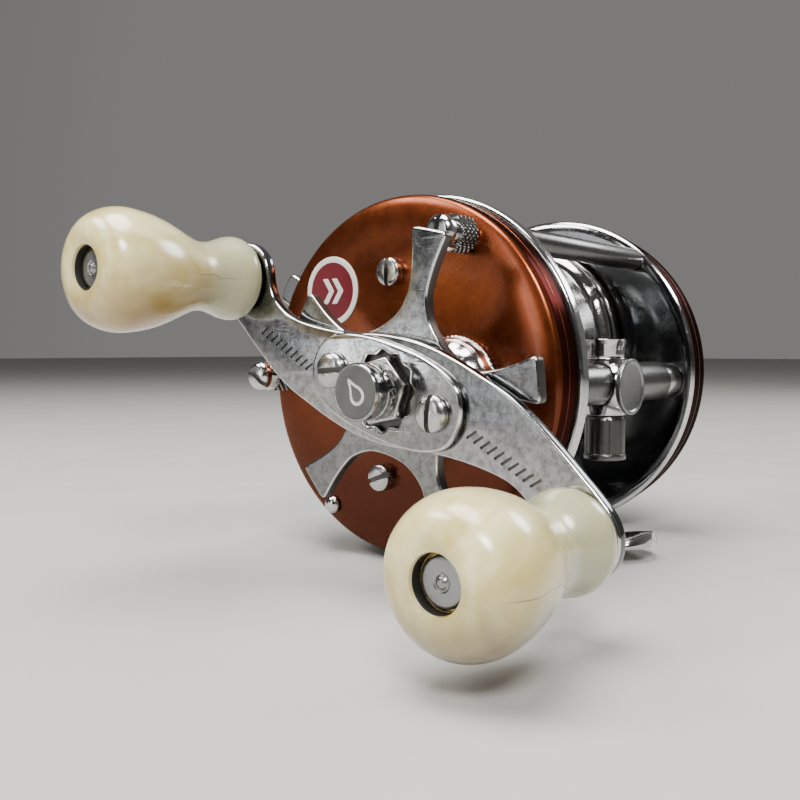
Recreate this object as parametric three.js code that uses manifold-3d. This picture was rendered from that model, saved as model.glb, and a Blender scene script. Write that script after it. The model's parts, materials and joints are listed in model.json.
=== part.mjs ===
// Round-frame baitcasting reel, right-hand retrieve.
// Units are millimetres. +X points to the handle side along the spool axis,
// +Y to the front (line out), +Z up. The origin is the middle of the foot's flat underside.
import * as THREE from 'three';
import { mergeVertices } from 'three/addons/utils/BufferGeometryUtils.js';
import Module from 'manifold-3d';

const wasm = await Module();
wasm.setup();

// ---- driving dimensions ----
const CENTRE_Z = 28.4;          // height of the round frame's centre
const FRAME_R = 28.1;           // chrome frame plates
const PLATE_R = 27.5;           // coloured side plates
const PLATE_INNER_R = 26.45;
const FRAME_IN = 18.4;          // inner faces of the frame plates
const FRAME_OUT = 20.6;
const RIGHT_FACE = 26.4;        // outer face of the handle-side plate
const LEFT_FACE = -27.5;
const SPOOL = [-4.0, CENTRE_Z + 4.6];
const DRIVE = [11.2, CENTRE_Z - 1.1];
const WORM = [23.2, CENTRE_Z - 1.1];
const SPOOL_HOLE_R = 19.15;
const SHAFT_R = 1.25;
const DRIVE_R = 2.2;
const MAIN_TEETH = 52;
const PINION_TEETH = 11;
const WIND_TEETH = 47;
const COG_TEETH = 13;
const HANDLE_ANGLE = THREE.MathUtils.degToRad(-29.4);
const COVER_ANGLE = THREE.MathUtils.degToRad(-16.7);
const STAR_ANGLE = THREE.MathUtils.degToRad(76.8);
const KNOB_REACH = 32.0;
const COVER_SCREW_REACH = 8.9;
const HANDLE_IN = 40.4;         // inner face of the handle blade
const HANDLE_OUT = 42.1;
const CARRIAGE_X = 4.0;
const TUBE_R = 3.1;
const BUTTON_ANGLE = THREE.MathUtils.degToRad(151);

// ---- materials: colour, roughness, metalness ----
const CHROME = ['#d4d6d8', 0.16, 1.0];
const STEEL = ['#a9abad', 0.32, 1.0];
const POLISHED = ['#c8cacc', 0.22, 1.0];
const BRASS = ['#b8923f', 0.30, 1.0];
const BRONZE = ['#a34a1b', 0.24, 0.8];
const KNOB = ['#e2d9b8', 0.22, 0.0];
const FIBRE = ['#2b2522', 0.80, 0.0];
const BADGE = ['#7d1420', 0.35, 0.0];

// ---- geometry helpers ----
const root = new THREE.Group();
root.name = 'baitcasting_reel';

const signedVolume = (points, index) => {
  let volume = 0;
  const a = new THREE.Vector3();
  const b = new THREE.Vector3();
  const c = new THREE.Vector3();
  for (let i = 0; i < index.length; i += 3) {
    a.fromArray(points, index[i] * 3);
    b.fromArray(points, index[i + 1] * 3);
    c.fromArray(points, index[i + 2] * 3);
    volume += a.dot(b.cross(c)) / 6;
  }
  return volume;
};

// Closed manifold solid from any closed geometry, with its faces turned outward.
const solid = (geometry) => {
  const bare = geometry.clone();
  bare.deleteAttribute('normal');
  bare.deleteAttribute('uv');
  const merged = mergeVertices(bare, 1e-4);
  const points = merged.attributes.position.array;
  const index = [];
  const source = merged.index.array;
  for (let i = 0; i < source.length; i += 3) {
    const [a, b, c] = [source[i], source[i + 1], source[i + 2]];
    if (a !== b && b !== c && c !== a) index.push(a, b, c);
  }
  if (signedVolume(points, index) < 0) index.reverse();
  return new wasm.Manifold(new wasm.Mesh({
    numProp: 3,
    vertProperties: Float32Array.from(points),
    triVerts: Uint32Array.from(index),
  }));
};

const geometryOf = (body) => {
  const mesh = body.getMesh();
  const geometry = new THREE.BufferGeometry();
  const points = new Float32Array(mesh.numVert * 3);
  for (let i = 0; i < mesh.numVert; i += 1) {
    for (let k = 0; k < 3; k += 1) points[i * 3 + k] = mesh.vertProperties[i * mesh.numProp + k];
  }
  geometry.setAttribute('position', new THREE.BufferAttribute(points, 3));
  geometry.setIndex(Array.from(mesh.triVerts));
  return geometry;
};

const union = (...parts) => geometryOf(parts.map(solid).reduce((a, b) => a.add(b)));
const cut = (base, ...tools) => geometryOf(tools.map(solid).reduce((a, b) => a.subtract(b), solid(base)));

const add = (name, geometry, [color, roughness, metalness]) => {
  const flat = geometryOf(solid(geometry)).toNonIndexed();
  flat.computeVertexNormals();
  const material = new THREE.MeshStandardMaterial({ color, roughness, metalness });
  const mesh = new THREE.Mesh(flat, material);
  mesh.name = name;
  root.add(mesh);
};

// Turned solid about the X axis through (y, z). The profile lists [x, radius].
const turned = (profile, [y, z] = [0, 0], segments = 20) => {
  const points = profile.map(([x, r]) => new THREE.Vector2(r, x));
  const geometry = new THREE.LatheGeometry(points, segments);
  geometry.rotateZ(-Math.PI / 2);
  return geometry.translate(0, y, z);
};

const rod = (x0, x1, r, centre, segments = 20) => (
  turned([[x0, 0], [x0, r], [x1, r], [x1, 0]], centre, segments)
);

const ring = (x0, x1, inner, outer, centre, segments = 20) => (
  turned([[x0, inner], [x0, outer], [x1, outer], [x1, inner], [x0, inner]], centre, segments)
);

// Flat outline of [y, z] points pushed along X from x0 to x1.
const extruded = (outline, x0, x1) => {
  const shape = new THREE.Shape(outline.map(([y, z]) => new THREE.Vector2(y, z)));
  const geometry = new THREE.ExtrudeGeometry(shape, { depth: x1 - x0, bevelEnabled: false });
  const swap = new THREE.Matrix4().makeBasis(
    new THREE.Vector3(0, 1, 0),
    new THREE.Vector3(0, 0, 1),
    new THREE.Vector3(1, 0, 0),
  );
  return geometry.applyMatrix4(swap).translate(x0, 0, 0);
};

const box = (x0, x1, y0, y1, z0, z1) => (
  new THREE.BoxGeometry(x1 - x0, y1 - y0, z1 - z0)
    .translate((x0 + x1) / 2, (y0 + y1) / 2, (z0 + z1) / 2)
);

const polar = (r, angle, [y, z] = [0, CENTRE_Z]) => [y + r * Math.cos(angle), z + r * Math.sin(angle)];
const degrees = (value) => THREE.MathUtils.degToRad(value);

// Bar that follows the round frame between two angles.
const arcBar = (inner, outer, from, to, x0, x1, steps = 6) => {
  const outline = [];
  for (let i = 0; i <= steps; i += 1) outline.push(polar(outer, degrees(from + (to - from) * i / steps)));
  for (let i = steps; i >= 0; i -= 1) outline.push(polar(inner, degrees(from + (to - from) * i / steps)));
  return extruded(outline, x0, x1);
};

// Spur gear outline about a centre, with one tooth on the given angle.
const gearOutline = (teeth, pitch, module, centre, phase) => {
  const outline = [];
  const step = 2 * Math.PI / teeth;
  const foot = pitch - 1.05 * module;
  const tip = pitch + 0.75 * module;
  for (let i = 0; i < teeth; i += 1) {
    const a = phase + i * step;
    outline.push(polar(foot, a - 0.27 * step, centre));
    outline.push(polar(tip, a - 0.11 * step, centre));
    outline.push(polar(tip, a + 0.11 * step, centre));
    outline.push(polar(foot, a + 0.27 * step, centre));
  }
  return outline;
};

// Point in the (y, z) plane from coordinates along and across a tilted line.
const tilted = (u, v, angle, [y, z]) => [
  y + u * Math.cos(angle) - v * Math.sin(angle),
  z + u * Math.sin(angle) + v * Math.cos(angle),
];

// ---- frame ----
const thumbscrewAngles = { top: 58, rear: 180, bottom: 302 };

const framePlate = (inner, outer) => {
  const sign = Math.sign(outer);
  const rim = turned([
    [inner, 0], [inner, FRAME_R - 0.6], [inner + 0.5 * sign, FRAME_R], [outer - 0.5 * sign, FRAME_R],
    [outer, FRAME_R - 0.4], [outer, 0],
  ], [0, CENTRE_Z], 48);
  return cut(
    rim,
    rod(-30, 30, SPOOL_HOLE_R, SPOOL, 40),
    rod(-30, 30, 1.9, WORM, 14),
  );
};

const buildFrame = () => {
  add('right_frame_plate', framePlate(FRAME_IN, FRAME_OUT), CHROME);
  add('left_frame_plate', framePlate(-FRAME_IN, -20.4), CHROME);
  add('front_pillar', rod(-18.2, 18.2, 1.85, polar(26.15, degrees(50))), CHROME);
  add('thumb_rest', arcBar(25.3, 27.5, 136, 166, -18.2, 18.2, 8), CHROME);
  const bridge = cut(
    box(-18.15, 18.15, -10, 10, 1.75, 4.6),
    new THREE.CylinderGeometry(1.25, 1.25, 8, 16).rotateX(Math.PI / 2).translate(0, 6, 3),
    new THREE.CylinderGeometry(1.25, 1.25, 8, 16).rotateX(Math.PI / 2).translate(0, -6, 3),
  );
  add('foot_crossbar', bridge, CHROME);
};

// ---- foot: flat in the middle, arched across and raised towards both tips ----
const footSection = (y) => {
  const t = Math.abs(y);
  const taper = t < 22 ? 1 : Math.sqrt(Math.max(0, 1 - ((t - 22) / 7.6) ** 2));
  const arch = 1.2 * THREE.MathUtils.smoothstep(t, 10, 22);
  const lift = 2.0 * THREE.MathUtils.smoothstep(t, 16, 30);
  return { half: 0.6 + 5.9 * taper, arch, lift };
};

const footGeometry = () => {
  const rows = [-29.5, -28.8, -27, -24.5, -22, -19, -16, -13, -10, 10, 13, 16, 19, 22, 24.5, 27, 28.8, 29.5];
  const across = [-1, -0.6, -0.2, 0.2, 0.6, 1];
  const points = [];
  const thickness = 1.35;
  rows.forEach((y) => {
    const { half, arch, lift } = footSection(y);
    across.forEach((s) => points.push(s * half, y, lift + arch * (1 - s * s)));
    across.forEach((s) => points.push(s * half, y, lift + arch * (1 - s * s) + thickness));
  });
  const n = across.length;
  const index = [];
  const quad = (a, b, c, d) => index.push(a, b, c, a, c, d);
  for (let i = 0; i < rows.length - 1; i += 1) {
    const p = i * 2 * n;
    const q = p + 2 * n;
    for (let k = 0; k < n - 1; k += 1) {
      quad(p + k, q + k, q + k + 1, p + k + 1);
      quad(p + n + k, p + n + k + 1, q + n + k + 1, q + n + k);
    }
    quad(p, p + n, q + n, q);
    quad(p + n - 1, q + n - 1, q + 2 * n - 1, p + 2 * n - 1);
  }
  const last = (rows.length - 1) * 2 * n;
  for (let k = 0; k < n - 1; k += 1) {
    quad(k, k + 1, n + k + 1, n + k);
    quad(last + k, last + n + k, last + n + k + 1, last + k + 1);
  }
  const geometry = new THREE.BufferGeometry();
  geometry.setAttribute('position', new THREE.Float32BufferAttribute(points, 3));
  geometry.setIndex(index);
  return geometry;
};

const buildFoot = () => {
  const hole = (y) => new THREE.CylinderGeometry(1.25, 1.25, 8, 16).rotateX(Math.PI / 2).translate(0, y, 1);
  add('reel_foot', cut(footGeometry(), hole(6), hole(-6)), CHROME);
  const rivet = (y) => union(
    new THREE.CylinderGeometry(1.0, 1.0, 4.6, 16).rotateX(Math.PI / 2).translate(0, y, 2.5),
    new THREE.CylinderGeometry(1.9, 1.9, 0.7, 16).rotateX(Math.PI / 2).translate(0, y, 5.05),
  );
  add('foot_rivet_front', rivet(6), STEEL);
  add('foot_rivet_rear', rivet(-6), STEEL);
};

// ---- line winder ----
const buildLineWinder = () => {
  const [wy, wz] = WORM;
  const tube = cut(
    ring(-13.2, 18.1, 2.45, TUBE_R, WORM),
    box(-12.3, 12.3, wy - 1.25, wy + 1.25, wz - 6, wz - 1),
  );
  add('worm_tube', tube, STEEL);
  add('tube_bush', ring(-18.1, -13.4, 2.45, 2.95, WORM), POLISHED);
  add('worm_shaft', turned([
    [-20.2, 0], [-20.2, 1.5], [-17.9, 1.5], [-17.9, 2.0], [17.9, 2.0], [17.9, 1.5], [22.3, 1.5], [22.3, 0],
  ], WORM, 20), STEEL);
  const cog = extruded(gearOutline(COG_TEETH, 2.6, 0.4, WORM, 0), 20.9, 21.9);
  add('worm_cog', cut(cog, rod(20, 23, 1.8, WORM, 16)), BRASS);

  const upright = (r, z0, z1, y = wy, segments = 20) => (
    new THREE.CylinderGeometry(r, r, z1 - z0, segments)
      .rotateX(Math.PI / 2)
      .translate(CARRIAGE_X, y, (z0 + z1) / 2)
  );
  const disc = (r, y0, y1) => (
    new THREE.CylinderGeometry(r, r, y1 - y0, 24).translate(CARRIAGE_X, (y0 + y1) / 2, wz - 0.3)
  );
  const postY = wy + 0.3;
  const carriage = cut(
    union(disc(4.33, 19.4, 26.9), upright(3.4, wz - 4.8, wz + 4.1, postY)),
    rod(-10, 15, 3.35, WORM),
    upright(1.4, wz - 6, wz - 2, wy, 14),
  );
  add('line_carriage', carriage, CHROME);
  const eye = cut(
    upright(3.4, wz + 4.2, wz + 6.9, postY),
    box(CARRIAGE_X - 1.5, CARRIAGE_X + 1.5, wy - 5, wy + 5, wz + 5.0, wz + 8),
  );
  add('line_guide', eye, CHROME);
  add('carriage_cap', cut(disc(4.33, 27.0, 27.6), disc(3.7, 27.35, 28.0)), CHROME);
  const housing = cut(upright(3.4, wz - 11.6, wz - 4.9, postY), upright(1.4, wz - 10.4, wz - 4, wy, 14));
  add('pawl_housing', housing, CHROME);
  add('worm_pawl', upright(1.1, wz - 10.1, wz - 2.3, wy, 14), BRASS);
};

// ---- spool ----
const buildSpool = () => {
  const half = [
    [17.2, 1.6], [17.2, 4.2], [14.6, 5.6], [14.1, 15.8], [14.7, 17.0], [17.4, 17.5], [17.6, 18.8],
    [14.1, 18.8], [13.4, 17.6], [12.0, 10.4], [11.0, 9.5],
  ];
  const mirrored = half.map(([x, r]) => [-x, r]).reverse();
  add('spool', turned([...half, ...mirrored, half[0]], SPOOL, 32), POLISHED);
  const crossPin = box(17.75, 18.25, SPOOL[0] - 2.2, SPOOL[0] + 2.2, SPOOL[1] - 0.25, SPOOL[1] + 0.25);
  add('spool_shaft', union(rod(-26.0, 24.4, SHAFT_R, SPOOL, 16), crossPin), STEEL);
  add('left_bearing', ring(-22.8, -20.9, 1.55, 4.0, SPOOL, 20), STEEL);
  const [sy, sz] = SPOOL;
  const arm = box(-19.6, -18.8, sy - 0.5, sy + 0.5, sz - 6.2, sz + 6.2);
  const rotor = cut(union(ring(-19.8, -18.4, 1.0, 2.6, SPOOL, 20), arm), rod(-22, -15, 1.55, SPOOL, 16));
  add('brake_rotor', rotor, BRASS);
  const block = (z) => cut(
    box(-20.0, -18.5, sy - 1.3, sy + 1.3, z - 1.1, z + 1.1),
    box(-19.8, -18.6, sy - 0.7, sy + 0.7, z - 3, z + 3),
  );
  add('brake_block_upper', block(sz + 4.6), FIBRE);
  add('brake_block_lower', block(sz - 4.6), FIBRE);
};

// ---- right side: plate, gears and clutch ----
const PLATE_SCREWS = { upper: [-0.8, CENTRE_Z + 15.9], lower: [-2.7, CENTRE_Z - 15.4] };
const RIVET_AT = [-13.6, CENTRE_Z - 20.8];
const BADGE_AT = [-13.4, CENTRE_Z + 13.5];
const PAWL_PIVOT = polar(11.3, degrees(-125), DRIVE);

const radialBox = (r0, r1, width, x0, x1) => {
  const outline = [[r0, -width / 2], [r1, -width / 2], [r1, width / 2], [r0, width / 2]]
    .map(([u, v]) => tilted(u, v, BUTTON_ANGLE, [0, CENTRE_Z]));
  return extruded(outline, x0, x1);
};

const buildRightPlate = () => {
  const shell = turned([
    [20.7, PLATE_INNER_R], [20.7, PLATE_R], [25.2, PLATE_R], [26.0, 27.2], [RIGHT_FACE, 26.3], [RIGHT_FACE, 0],
    [24.9, 0], [24.9, 25.6], [24.2, PLATE_INNER_R], [20.7, PLATE_INNER_R],
  ], [0, CENTRE_Z], 48);
  const screwHoles = Object.values(thumbscrewAngles).map((a) => rod(20, 30, 1.4, polar(24, degrees(a)), 12));
  const holes = Object.values(PLATE_SCREWS).map((at) => rod(20, 30, 1.2, at, 12));
  const plate = cut(
    shell,
    rod(20, 30, 2.6, DRIVE),
    rod(20, 30, 0.9, RIVET_AT, 12),
    radialBox(23, 30, 5.8, 21.3, 24.1),
    ...screwHoles,
    ...holes,
  );
  add('right_side_plate', plate, BRONZE);
  add('badge', rod(26.42, 26.7, 5.5, BADGE_AT, 28), BADGE);
  const boss = turned([
    [26.45, 2.6], [26.45, 7.5], [27.6, 7.5], [27.8, 7.1], [29.0, 7.0], [29.7, 6.5], [30.7, 5.4], [31.3, 4.2],
    [31.5, 2.6], [26.45, 2.6],
  ], DRIVE, 28);
  add('shaft_boss', boss, CHROME);
};

const slottedScrew = (at, x, r, height, shankEnd, shankR, slotAngle) => {
  const head = turned([
    [shankEnd, 0], [shankEnd, shankR], [x, shankR], [x, r], [x + height * 0.6, r], [x + height, r * 0.75],
    [x + height, 0],
  ], at, 14);
  const outline = [[-r - 1, -0.35], [r + 1, -0.35], [r + 1, 0.35], [-r - 1, 0.35]]
    .map(([u, v]) => tilted(u, v, slotAngle, at));
  return cut(head, extruded(outline, x + height - 0.7, x + height + 1));
};

const thumbscrew = (at) => {
  const body = turned([
    [20.8, 0], [20.8, 1.1], [26.45, 1.1], [26.45, 2.0], [27.2, 2.0], [27.2, 2.8], [30.6, 2.8], [30.6, 1.6],
    [31.8, 1.6], [31.8, 2.3], [33.2, 2.3], [33.6, 1.9], [33.6, 0],
  ], at, 14);
  const slot = box(32.9, 34.5, at[0] - 4, at[0] + 4, at[1] - 0.35, at[1] + 0.35);
  return cut(body, slot);
};

const buildFasteners = () => {
  add('plate_screw_upper', slottedScrew(PLATE_SCREWS.upper, 26.45, 2.15, 1.8, 20.9, 0.9, degrees(88)), STEEL);
  add('plate_screw_lower', slottedScrew(PLATE_SCREWS.lower, 26.45, 2.05, 1.8, 20.9, 0.9, degrees(20)), STEEL);
  add('plate_rivet', turned([
    [24.6, 0], [24.6, 0.6], [26.45, 0.6], [26.45, 1.45], [26.9, 1.3], [27.3, 0.8], [27.4, 0],
  ], RIVET_AT, 16), STEEL);
  Object.entries(thumbscrewAngles).forEach(([name, a]) => {
    add(`thumbscrew_${name}`, thumbscrew(polar(24, degrees(a))), CHROME);
  });
};

const buildGearTrain = () => {
  const dy = SPOOL[0] - DRIVE[0];
  const dz = SPOOL[1] - DRIVE[1];
  const distance = Math.hypot(dy, dz);
  const toSpool = Math.atan2(dz, dy);
  const module = 2 * distance / (MAIN_TEETH + PINION_TEETH);
  const mainPitch = module * MAIN_TEETH / 2;
  const pinionPitch = module * PINION_TEETH / 2;
  const bore = rod(10, 40, 2.5, DRIVE);

  const bridge = cut(
    rod(18.5, 19.7, 18.8, SPOOL, 44),
    rod(18, 20, 4.7, SPOOL),
    rod(18, 20, 1.7, DRIVE, 16),
    rod(18, 20, 1.1, PAWL_PIVOT, 14),
  );
  add('bridge_plate', bridge, BRASS);
  add('right_bearing', ring(18.6, 19.6, 2.7, 4.4, SPOOL, 20), STEEL);
  const main = extruded(gearOutline(MAIN_TEETH, mainPitch, module, DRIVE, toSpool), 22.8, 24.5);
  add('main_gear', cut(main, bore, rod(23.5, 26, 9.0, DRIVE, 24)), BRASS);
  add('drag_washer', ring(23.52, 23.94, 2.9, 8.7, DRIVE, 24), FIBRE);
  add('drag_plate', ring(24.0, 24.5, 2.5, 8.7, DRIVE, 24), STEEL);
  const wind = extruded(gearOutline(WIND_TEETH, 9.4, 0.4, DRIVE, 0), 20.9, 21.8);
  add('winding_gear', cut(wind, bore), FIBRE);

  const ratchetOutline = [];
  for (let i = 0; i < 8; i += 1) {
    ratchetOutline.push(polar(5.2, i * Math.PI / 4, DRIVE));
    ratchetOutline.push(polar(4.0, i * Math.PI / 4 + 0.12, DRIVE));
    ratchetOutline.push(polar(4.4, i * Math.PI / 4 + 0.45, DRIVE));
  }
  add('ratchet_wheel', cut(extruded(ratchetOutline, 22.05, 22.55), bore), STEEL);
  const along = (u, v) => tilted(u, v, degrees(62), PAWL_PIVOT);
  const lever = extruded([along(-1, -1.5), along(4.6, -0.9), along(5.4, 0.1), along(4.4, 0.6), along(-1, 1.5)],
    22.05, 22.55);
  add('ratchet_pawl', union(lever, rod(18.6, 22.5, 0.8, PAWL_PIVOT, 14)), STEEL);

  const sleeve = turned([
    [17.6, 0], [17.6, 2.4], [20.7, 2.4], [20.7, 1.9], [21.7, 1.9], [21.7, 2.2], [23.0, 2.2], [23.0, 0],
  ], SPOOL, 20);
  const phase = toSpool + Math.PI + Math.PI / PINION_TEETH;
  const teeth = extruded(gearOutline(PINION_TEETH, pinionPitch, module, SPOOL, phase), 21.75, 23.6);
  const [sy, sz] = SPOOL;
  const pinion = cut(
    union(sleeve, teeth),
    rod(15, 26, 1.5, SPOOL, 16),
    box(17, 18.5, sy - 4, sy + 4, sz - 0.5, sz + 0.5),
  );
  add('pinion', pinion, BRASS);

  const fork = [[-4.0, -4.4], [10, -4.4], [14, -2.6], [14, 2.6], [10, 4.4], [-4.0, 4.4]]
    .map(([u, v]) => tilted(u, v, BUTTON_ANGLE, SPOOL));
  const slot = [[-6, -2.15], [0, -2.15], [0, 2.15], [-6, 2.15]].map(([u, v]) => tilted(u, v, BUTTON_ANGLE, SPOOL));
  const yoke = cut(extruded(fork, 20.95, 21.45), extruded(slot, 20, 23), rod(20, 23, 2.15, SPOOL, 20));
  add('pinion_yoke', yoke, STEEL);
  add('clutch_button', radialBox(24.4, 31.2, 5.2, 21.6, 23.8), CHROME);
};

// ---- handle, star wheel and knobs ----
const BLADE_EDGE = [
  [-37.4, 0.0], [-36.9, 2.3], [-35.6, 4.1], [-33.8, 5.2], [-31.6, 5.5], [-29.6, 4.9], [-28.0, 3.6], [-26.6, 1.9],
  [-25.0, 0.6], [-23.0, 0.0], [-20.7, -0.05], [-17.0, 0.75], [-13.0, 2.05], [-9.3, 3.6], [-4.8, 5.9],
  [-1.0, 7.35], [2.6, 8.3], [7.3, 8.9], [11.5, 9.1], [16.1, 9.2], [20.4, 8.6], [25.0, 7.5], [29.0, 6.4],
  [31.8, 5.6], [34.0, 4.8], [35.8, 3.6], [37.0, 1.9],
];

const onHandle = (u, v = 0) => tilted(u, v, HANDLE_ANGLE, DRIVE);
const onCover = (u, v = 0) => tilted(u, v, COVER_ANGLE, DRIVE);

const starOutline = () => {
  const arm = [[7.7, -4.5], [9.6, -2.9], [11.6, -1.95], [13.5, -1.6], [16.5, -1.8], [19.2, -2.35], [20.8, -2.8],
    [21.3, -2.4]];
  const outline = [];
  for (let i = 0; i < 5; i += 1) {
    const a = STAR_ANGLE + i * 2 * Math.PI / 5;
    arm.forEach(([u, v]) => outline.push(tilted(u, v, a, DRIVE)));
    [...arm].reverse().forEach(([u, v]) => outline.push(tilted(u, -v, a, DRIVE)));
  }
  return outline;
};

const buildDrive = () => {
  add('drive_shaft', turned([
    [18.7, 0], [18.7, 1.4], [19.95, 1.4], [19.95, DRIVE_R], [42.2, DRIVE_R], [42.2, 1.8], [43.2, 1.8], [43.2, 0],
  ], DRIVE, 20), STEEL);
  const star = cut(
    union(extruded(starOutline(), 37.8, 39.6), turned([
      [32.0, 0], [32.0, 4.4], [33.0, 4.9], [37.0, 5.4], [38.2, 6.2], [38.2, 0],
    ], DRIVE)),
    rod(20, 50, 2.5, DRIVE),
  );
  add('star_wheel', star, POLISHED);
  add('star_spring', ring(39.72, 40.2, 2.5, 4.6, DRIVE, 20), STEEL);

  const edge = BLADE_EDGE.map(([u, v]) => onHandle(u, v));
  const opposite = BLADE_EDGE.map(([u, v]) => onHandle(-u, -v));
  const blade = cut(
    extruded([...edge, ...opposite], HANDLE_IN, HANDLE_OUT),
    rod(30, 50, 2.5, DRIVE),
    rod(30, 50, 1.7, onHandle(KNOB_REACH), 16),
    rod(30, 50, 1.7, onHandle(-KNOB_REACH), 16),
    rod(30, 50, 1.2, onCover(COVER_SCREW_REACH), 14),
    rod(30, 50, 1.2, onCover(-COVER_SCREW_REACH), 14),
  );
  add('handle_blade', blade, POLISHED);

  add('handle_nut', cut(rod(42.35, 44.2, 4.25, DRIVE, 6), rod(40, 46, 2.1, DRIVE)), STEEL);
  const quarter = [[13.0, 0], [12.6, 2.2], [11.5, 3.9], [9.6, 5.0], [7.0, 5.8], [3.5, 6.3], [0, 6.4]];
  const half = [...quarter, ...quarter.slice(0, -1).reverse().map(([u, v]) => [-u, v])];
  const oval = [...half, ...half.slice(1, -1).map(([u, v]) => [-u, -v])].map(([u, v]) => onCover(u, v));
  const opening = [];
  for (let i = 0; i < 24; i += 1) opening.push(polar(i % 2 ? 4.6 : 5.1, i * Math.PI / 12, DRIVE));
  const cover = cut(
    extruded(oval, 42.2, 43.2),
    extruded(opening, 42, 44),
    rod(42, 44, 1.2, onCover(COVER_SCREW_REACH), 14),
    rod(42, 44, 1.2, onCover(-COVER_SCREW_REACH), 14),
  );
  add('cover_plate', cover, POLISHED);
  add('cover_screw_front', slottedScrew(onCover(COVER_SCREW_REACH), 43.25, 2.4, 1.5, 40.7, 0.9, degrees(86)), STEEL);
  add('cover_screw_rear', slottedScrew(onCover(-COVER_SCREW_REACH), 43.25, 2.4, 1.5, 40.7, 0.9, degrees(5)), STEEL);
  add('oil_cap', turned([
    [43.3, 0], [43.3, 1.6], [44.25, 1.6], [44.25, 3.5], [44.6, 3.7], [48.0, 3.7], [48.3, 3.4], [48.3, 0],
  ], DRIVE), CHROME);
};

const buildKnob = (name, at) => {
  add(`knob_spindle_${name}`, turned([
    [39.7, 0], [39.7, 2.6], [40.35, 2.6], [40.35, 1.4], [42.15, 1.4], [42.15, 2.4], [42.6, 2.4], [42.6, 1.4],
    [66.6, 1.4], [66.6, 2.4], [67.4, 2.1], [67.6, 0],
  ], at, 12), STEEL);
  add(`knob_${name}`, turned([
    [42.9, 1.7], [42.9, 4.9], [43.8, 5.85], [45.1, 6.05], [46.9, 5.5], [49.0, 4.95], [50.8, 4.9], [52.7, 5.3],
    [55.6, 6.55], [58.7, 7.6], [61.4, 8.1], [63.9, 8.2], [66.1, 7.6], [67.6, 6.55], [68.6, 4.7], [68.6, 3.1],
    [66.2, 3.1], [66.2, 1.7], [42.9, 1.7],
  ], at, 20), KNOB);
};

// ---- left side ----
const CLICK_AT = [2.0, CENTRE_Z - 14.0];

const buildLeftSide = () => {
  const shell = turned([
    [-20.5, PLATE_INNER_R], [-20.5, PLATE_R], [-25.0, PLATE_R], [-26.0, 26.9], [-26.5, 25.8], [-27.1, 20],
    [LEFT_FACE, 9], [LEFT_FACE, 0], [-26.1, 0], [-25.7, 20], [-24.4, PLATE_INNER_R], [-20.5, PLATE_INNER_R],
  ], [0, CENTRE_Z], 48);
  const hub = rod(-29.8, -20.8, 5.3, SPOOL);
  const [cy, cz] = CLICK_AT;
  const plate = cut(
    union(shell, hub),
    rod(-24.0, -20, 4.3, SPOOL),
    rod(-31, -20, 1.6, SPOOL, 14),
    box(-30, -24, cy - 1.3, cy + 6.3, cz - 1.3, cz + 1.3),
  );
  add('left_side_plate', plate, BRONZE);
  add('brake_ring', ring(-25.2, -18.6, 6.9, 7.7, SPOOL, 24), BRASS);
  const cap = turned([
    [-27.9, 5.6], [-27.9, 6.9], [-31.2, 6.9], [-31.9, 6.3], [-32.3, 4.6], [-32.4, 0], [-30.2, 0], [-30.2, 5.6],
    [-27.9, 5.6],
  ], SPOOL, 24);
  add('tension_cap', cap, CHROME);
  add('click_button', turned([
    [-24.9, 0], [-24.9, 2.0], [-25.5, 2.0], [-25.5, 1.0], [-27.75, 1.0], [-27.75, 2.5], [-28.9, 2.5],
    [-29.2, 2.1], [-29.2, 0],
  ], CLICK_AT, 18), CHROME);
};

buildFrame();
buildFoot();
buildLineWinder();
buildSpool();
buildRightPlate();
buildFasteners();
buildGearTrain();
buildDrive();
buildKnob('front', onHandle(KNOB_REACH));
buildKnob('rear', onHandle(-KNOB_REACH));
buildLeftSide();

export default root;
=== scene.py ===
import json
import math

import bpy
from mathutils import Matrix, Vector
from mathutils.geometry import tessellate_polygon


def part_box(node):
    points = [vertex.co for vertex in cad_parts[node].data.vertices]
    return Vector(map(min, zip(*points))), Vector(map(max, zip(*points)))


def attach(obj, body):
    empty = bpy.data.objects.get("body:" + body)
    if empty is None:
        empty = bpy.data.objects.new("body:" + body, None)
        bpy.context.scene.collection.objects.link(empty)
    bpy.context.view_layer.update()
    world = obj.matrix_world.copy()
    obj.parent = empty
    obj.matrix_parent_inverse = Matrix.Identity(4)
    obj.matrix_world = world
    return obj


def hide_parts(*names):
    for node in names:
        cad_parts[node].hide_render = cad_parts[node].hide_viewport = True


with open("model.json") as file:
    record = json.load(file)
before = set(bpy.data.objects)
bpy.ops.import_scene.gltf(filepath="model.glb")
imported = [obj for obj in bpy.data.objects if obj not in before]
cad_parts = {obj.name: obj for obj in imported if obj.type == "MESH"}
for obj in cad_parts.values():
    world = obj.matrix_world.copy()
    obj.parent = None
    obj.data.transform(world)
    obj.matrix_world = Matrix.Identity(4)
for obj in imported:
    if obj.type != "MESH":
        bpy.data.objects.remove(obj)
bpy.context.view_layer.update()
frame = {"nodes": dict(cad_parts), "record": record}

# ---------------- places, in millimetres
TAU = 2 * math.pi
JOINTS = {j["name"]: j for j in frame["record"]["behaviour"]["joints"]}


def axis_of(joint):
    """(y, z) of a joint that turns about X."""
    _, y, z = JOINTS[joint]["pos_m"]
    return (y * 1000, z * 1000)


def low(node):
    """The least x, y and z of a CAD node."""
    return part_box(node)[0] * 1000


def high(node):
    """The greatest x, y and z of a CAD node."""
    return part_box(node)[1] * 1000


def ends(node):
    """The least and the greatest x of a CAD node."""
    return low(node).x, high(node).x


def middle(node):
    """(y, z) of the middle of a CAD node."""
    centre = (low(node) + high(node)) / 2
    return (centre.y, centre.z)


def radius_of(node):
    """Radius of a round CAD node that lies along X."""
    return (high(node).z - low(node).z) / 2


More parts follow.
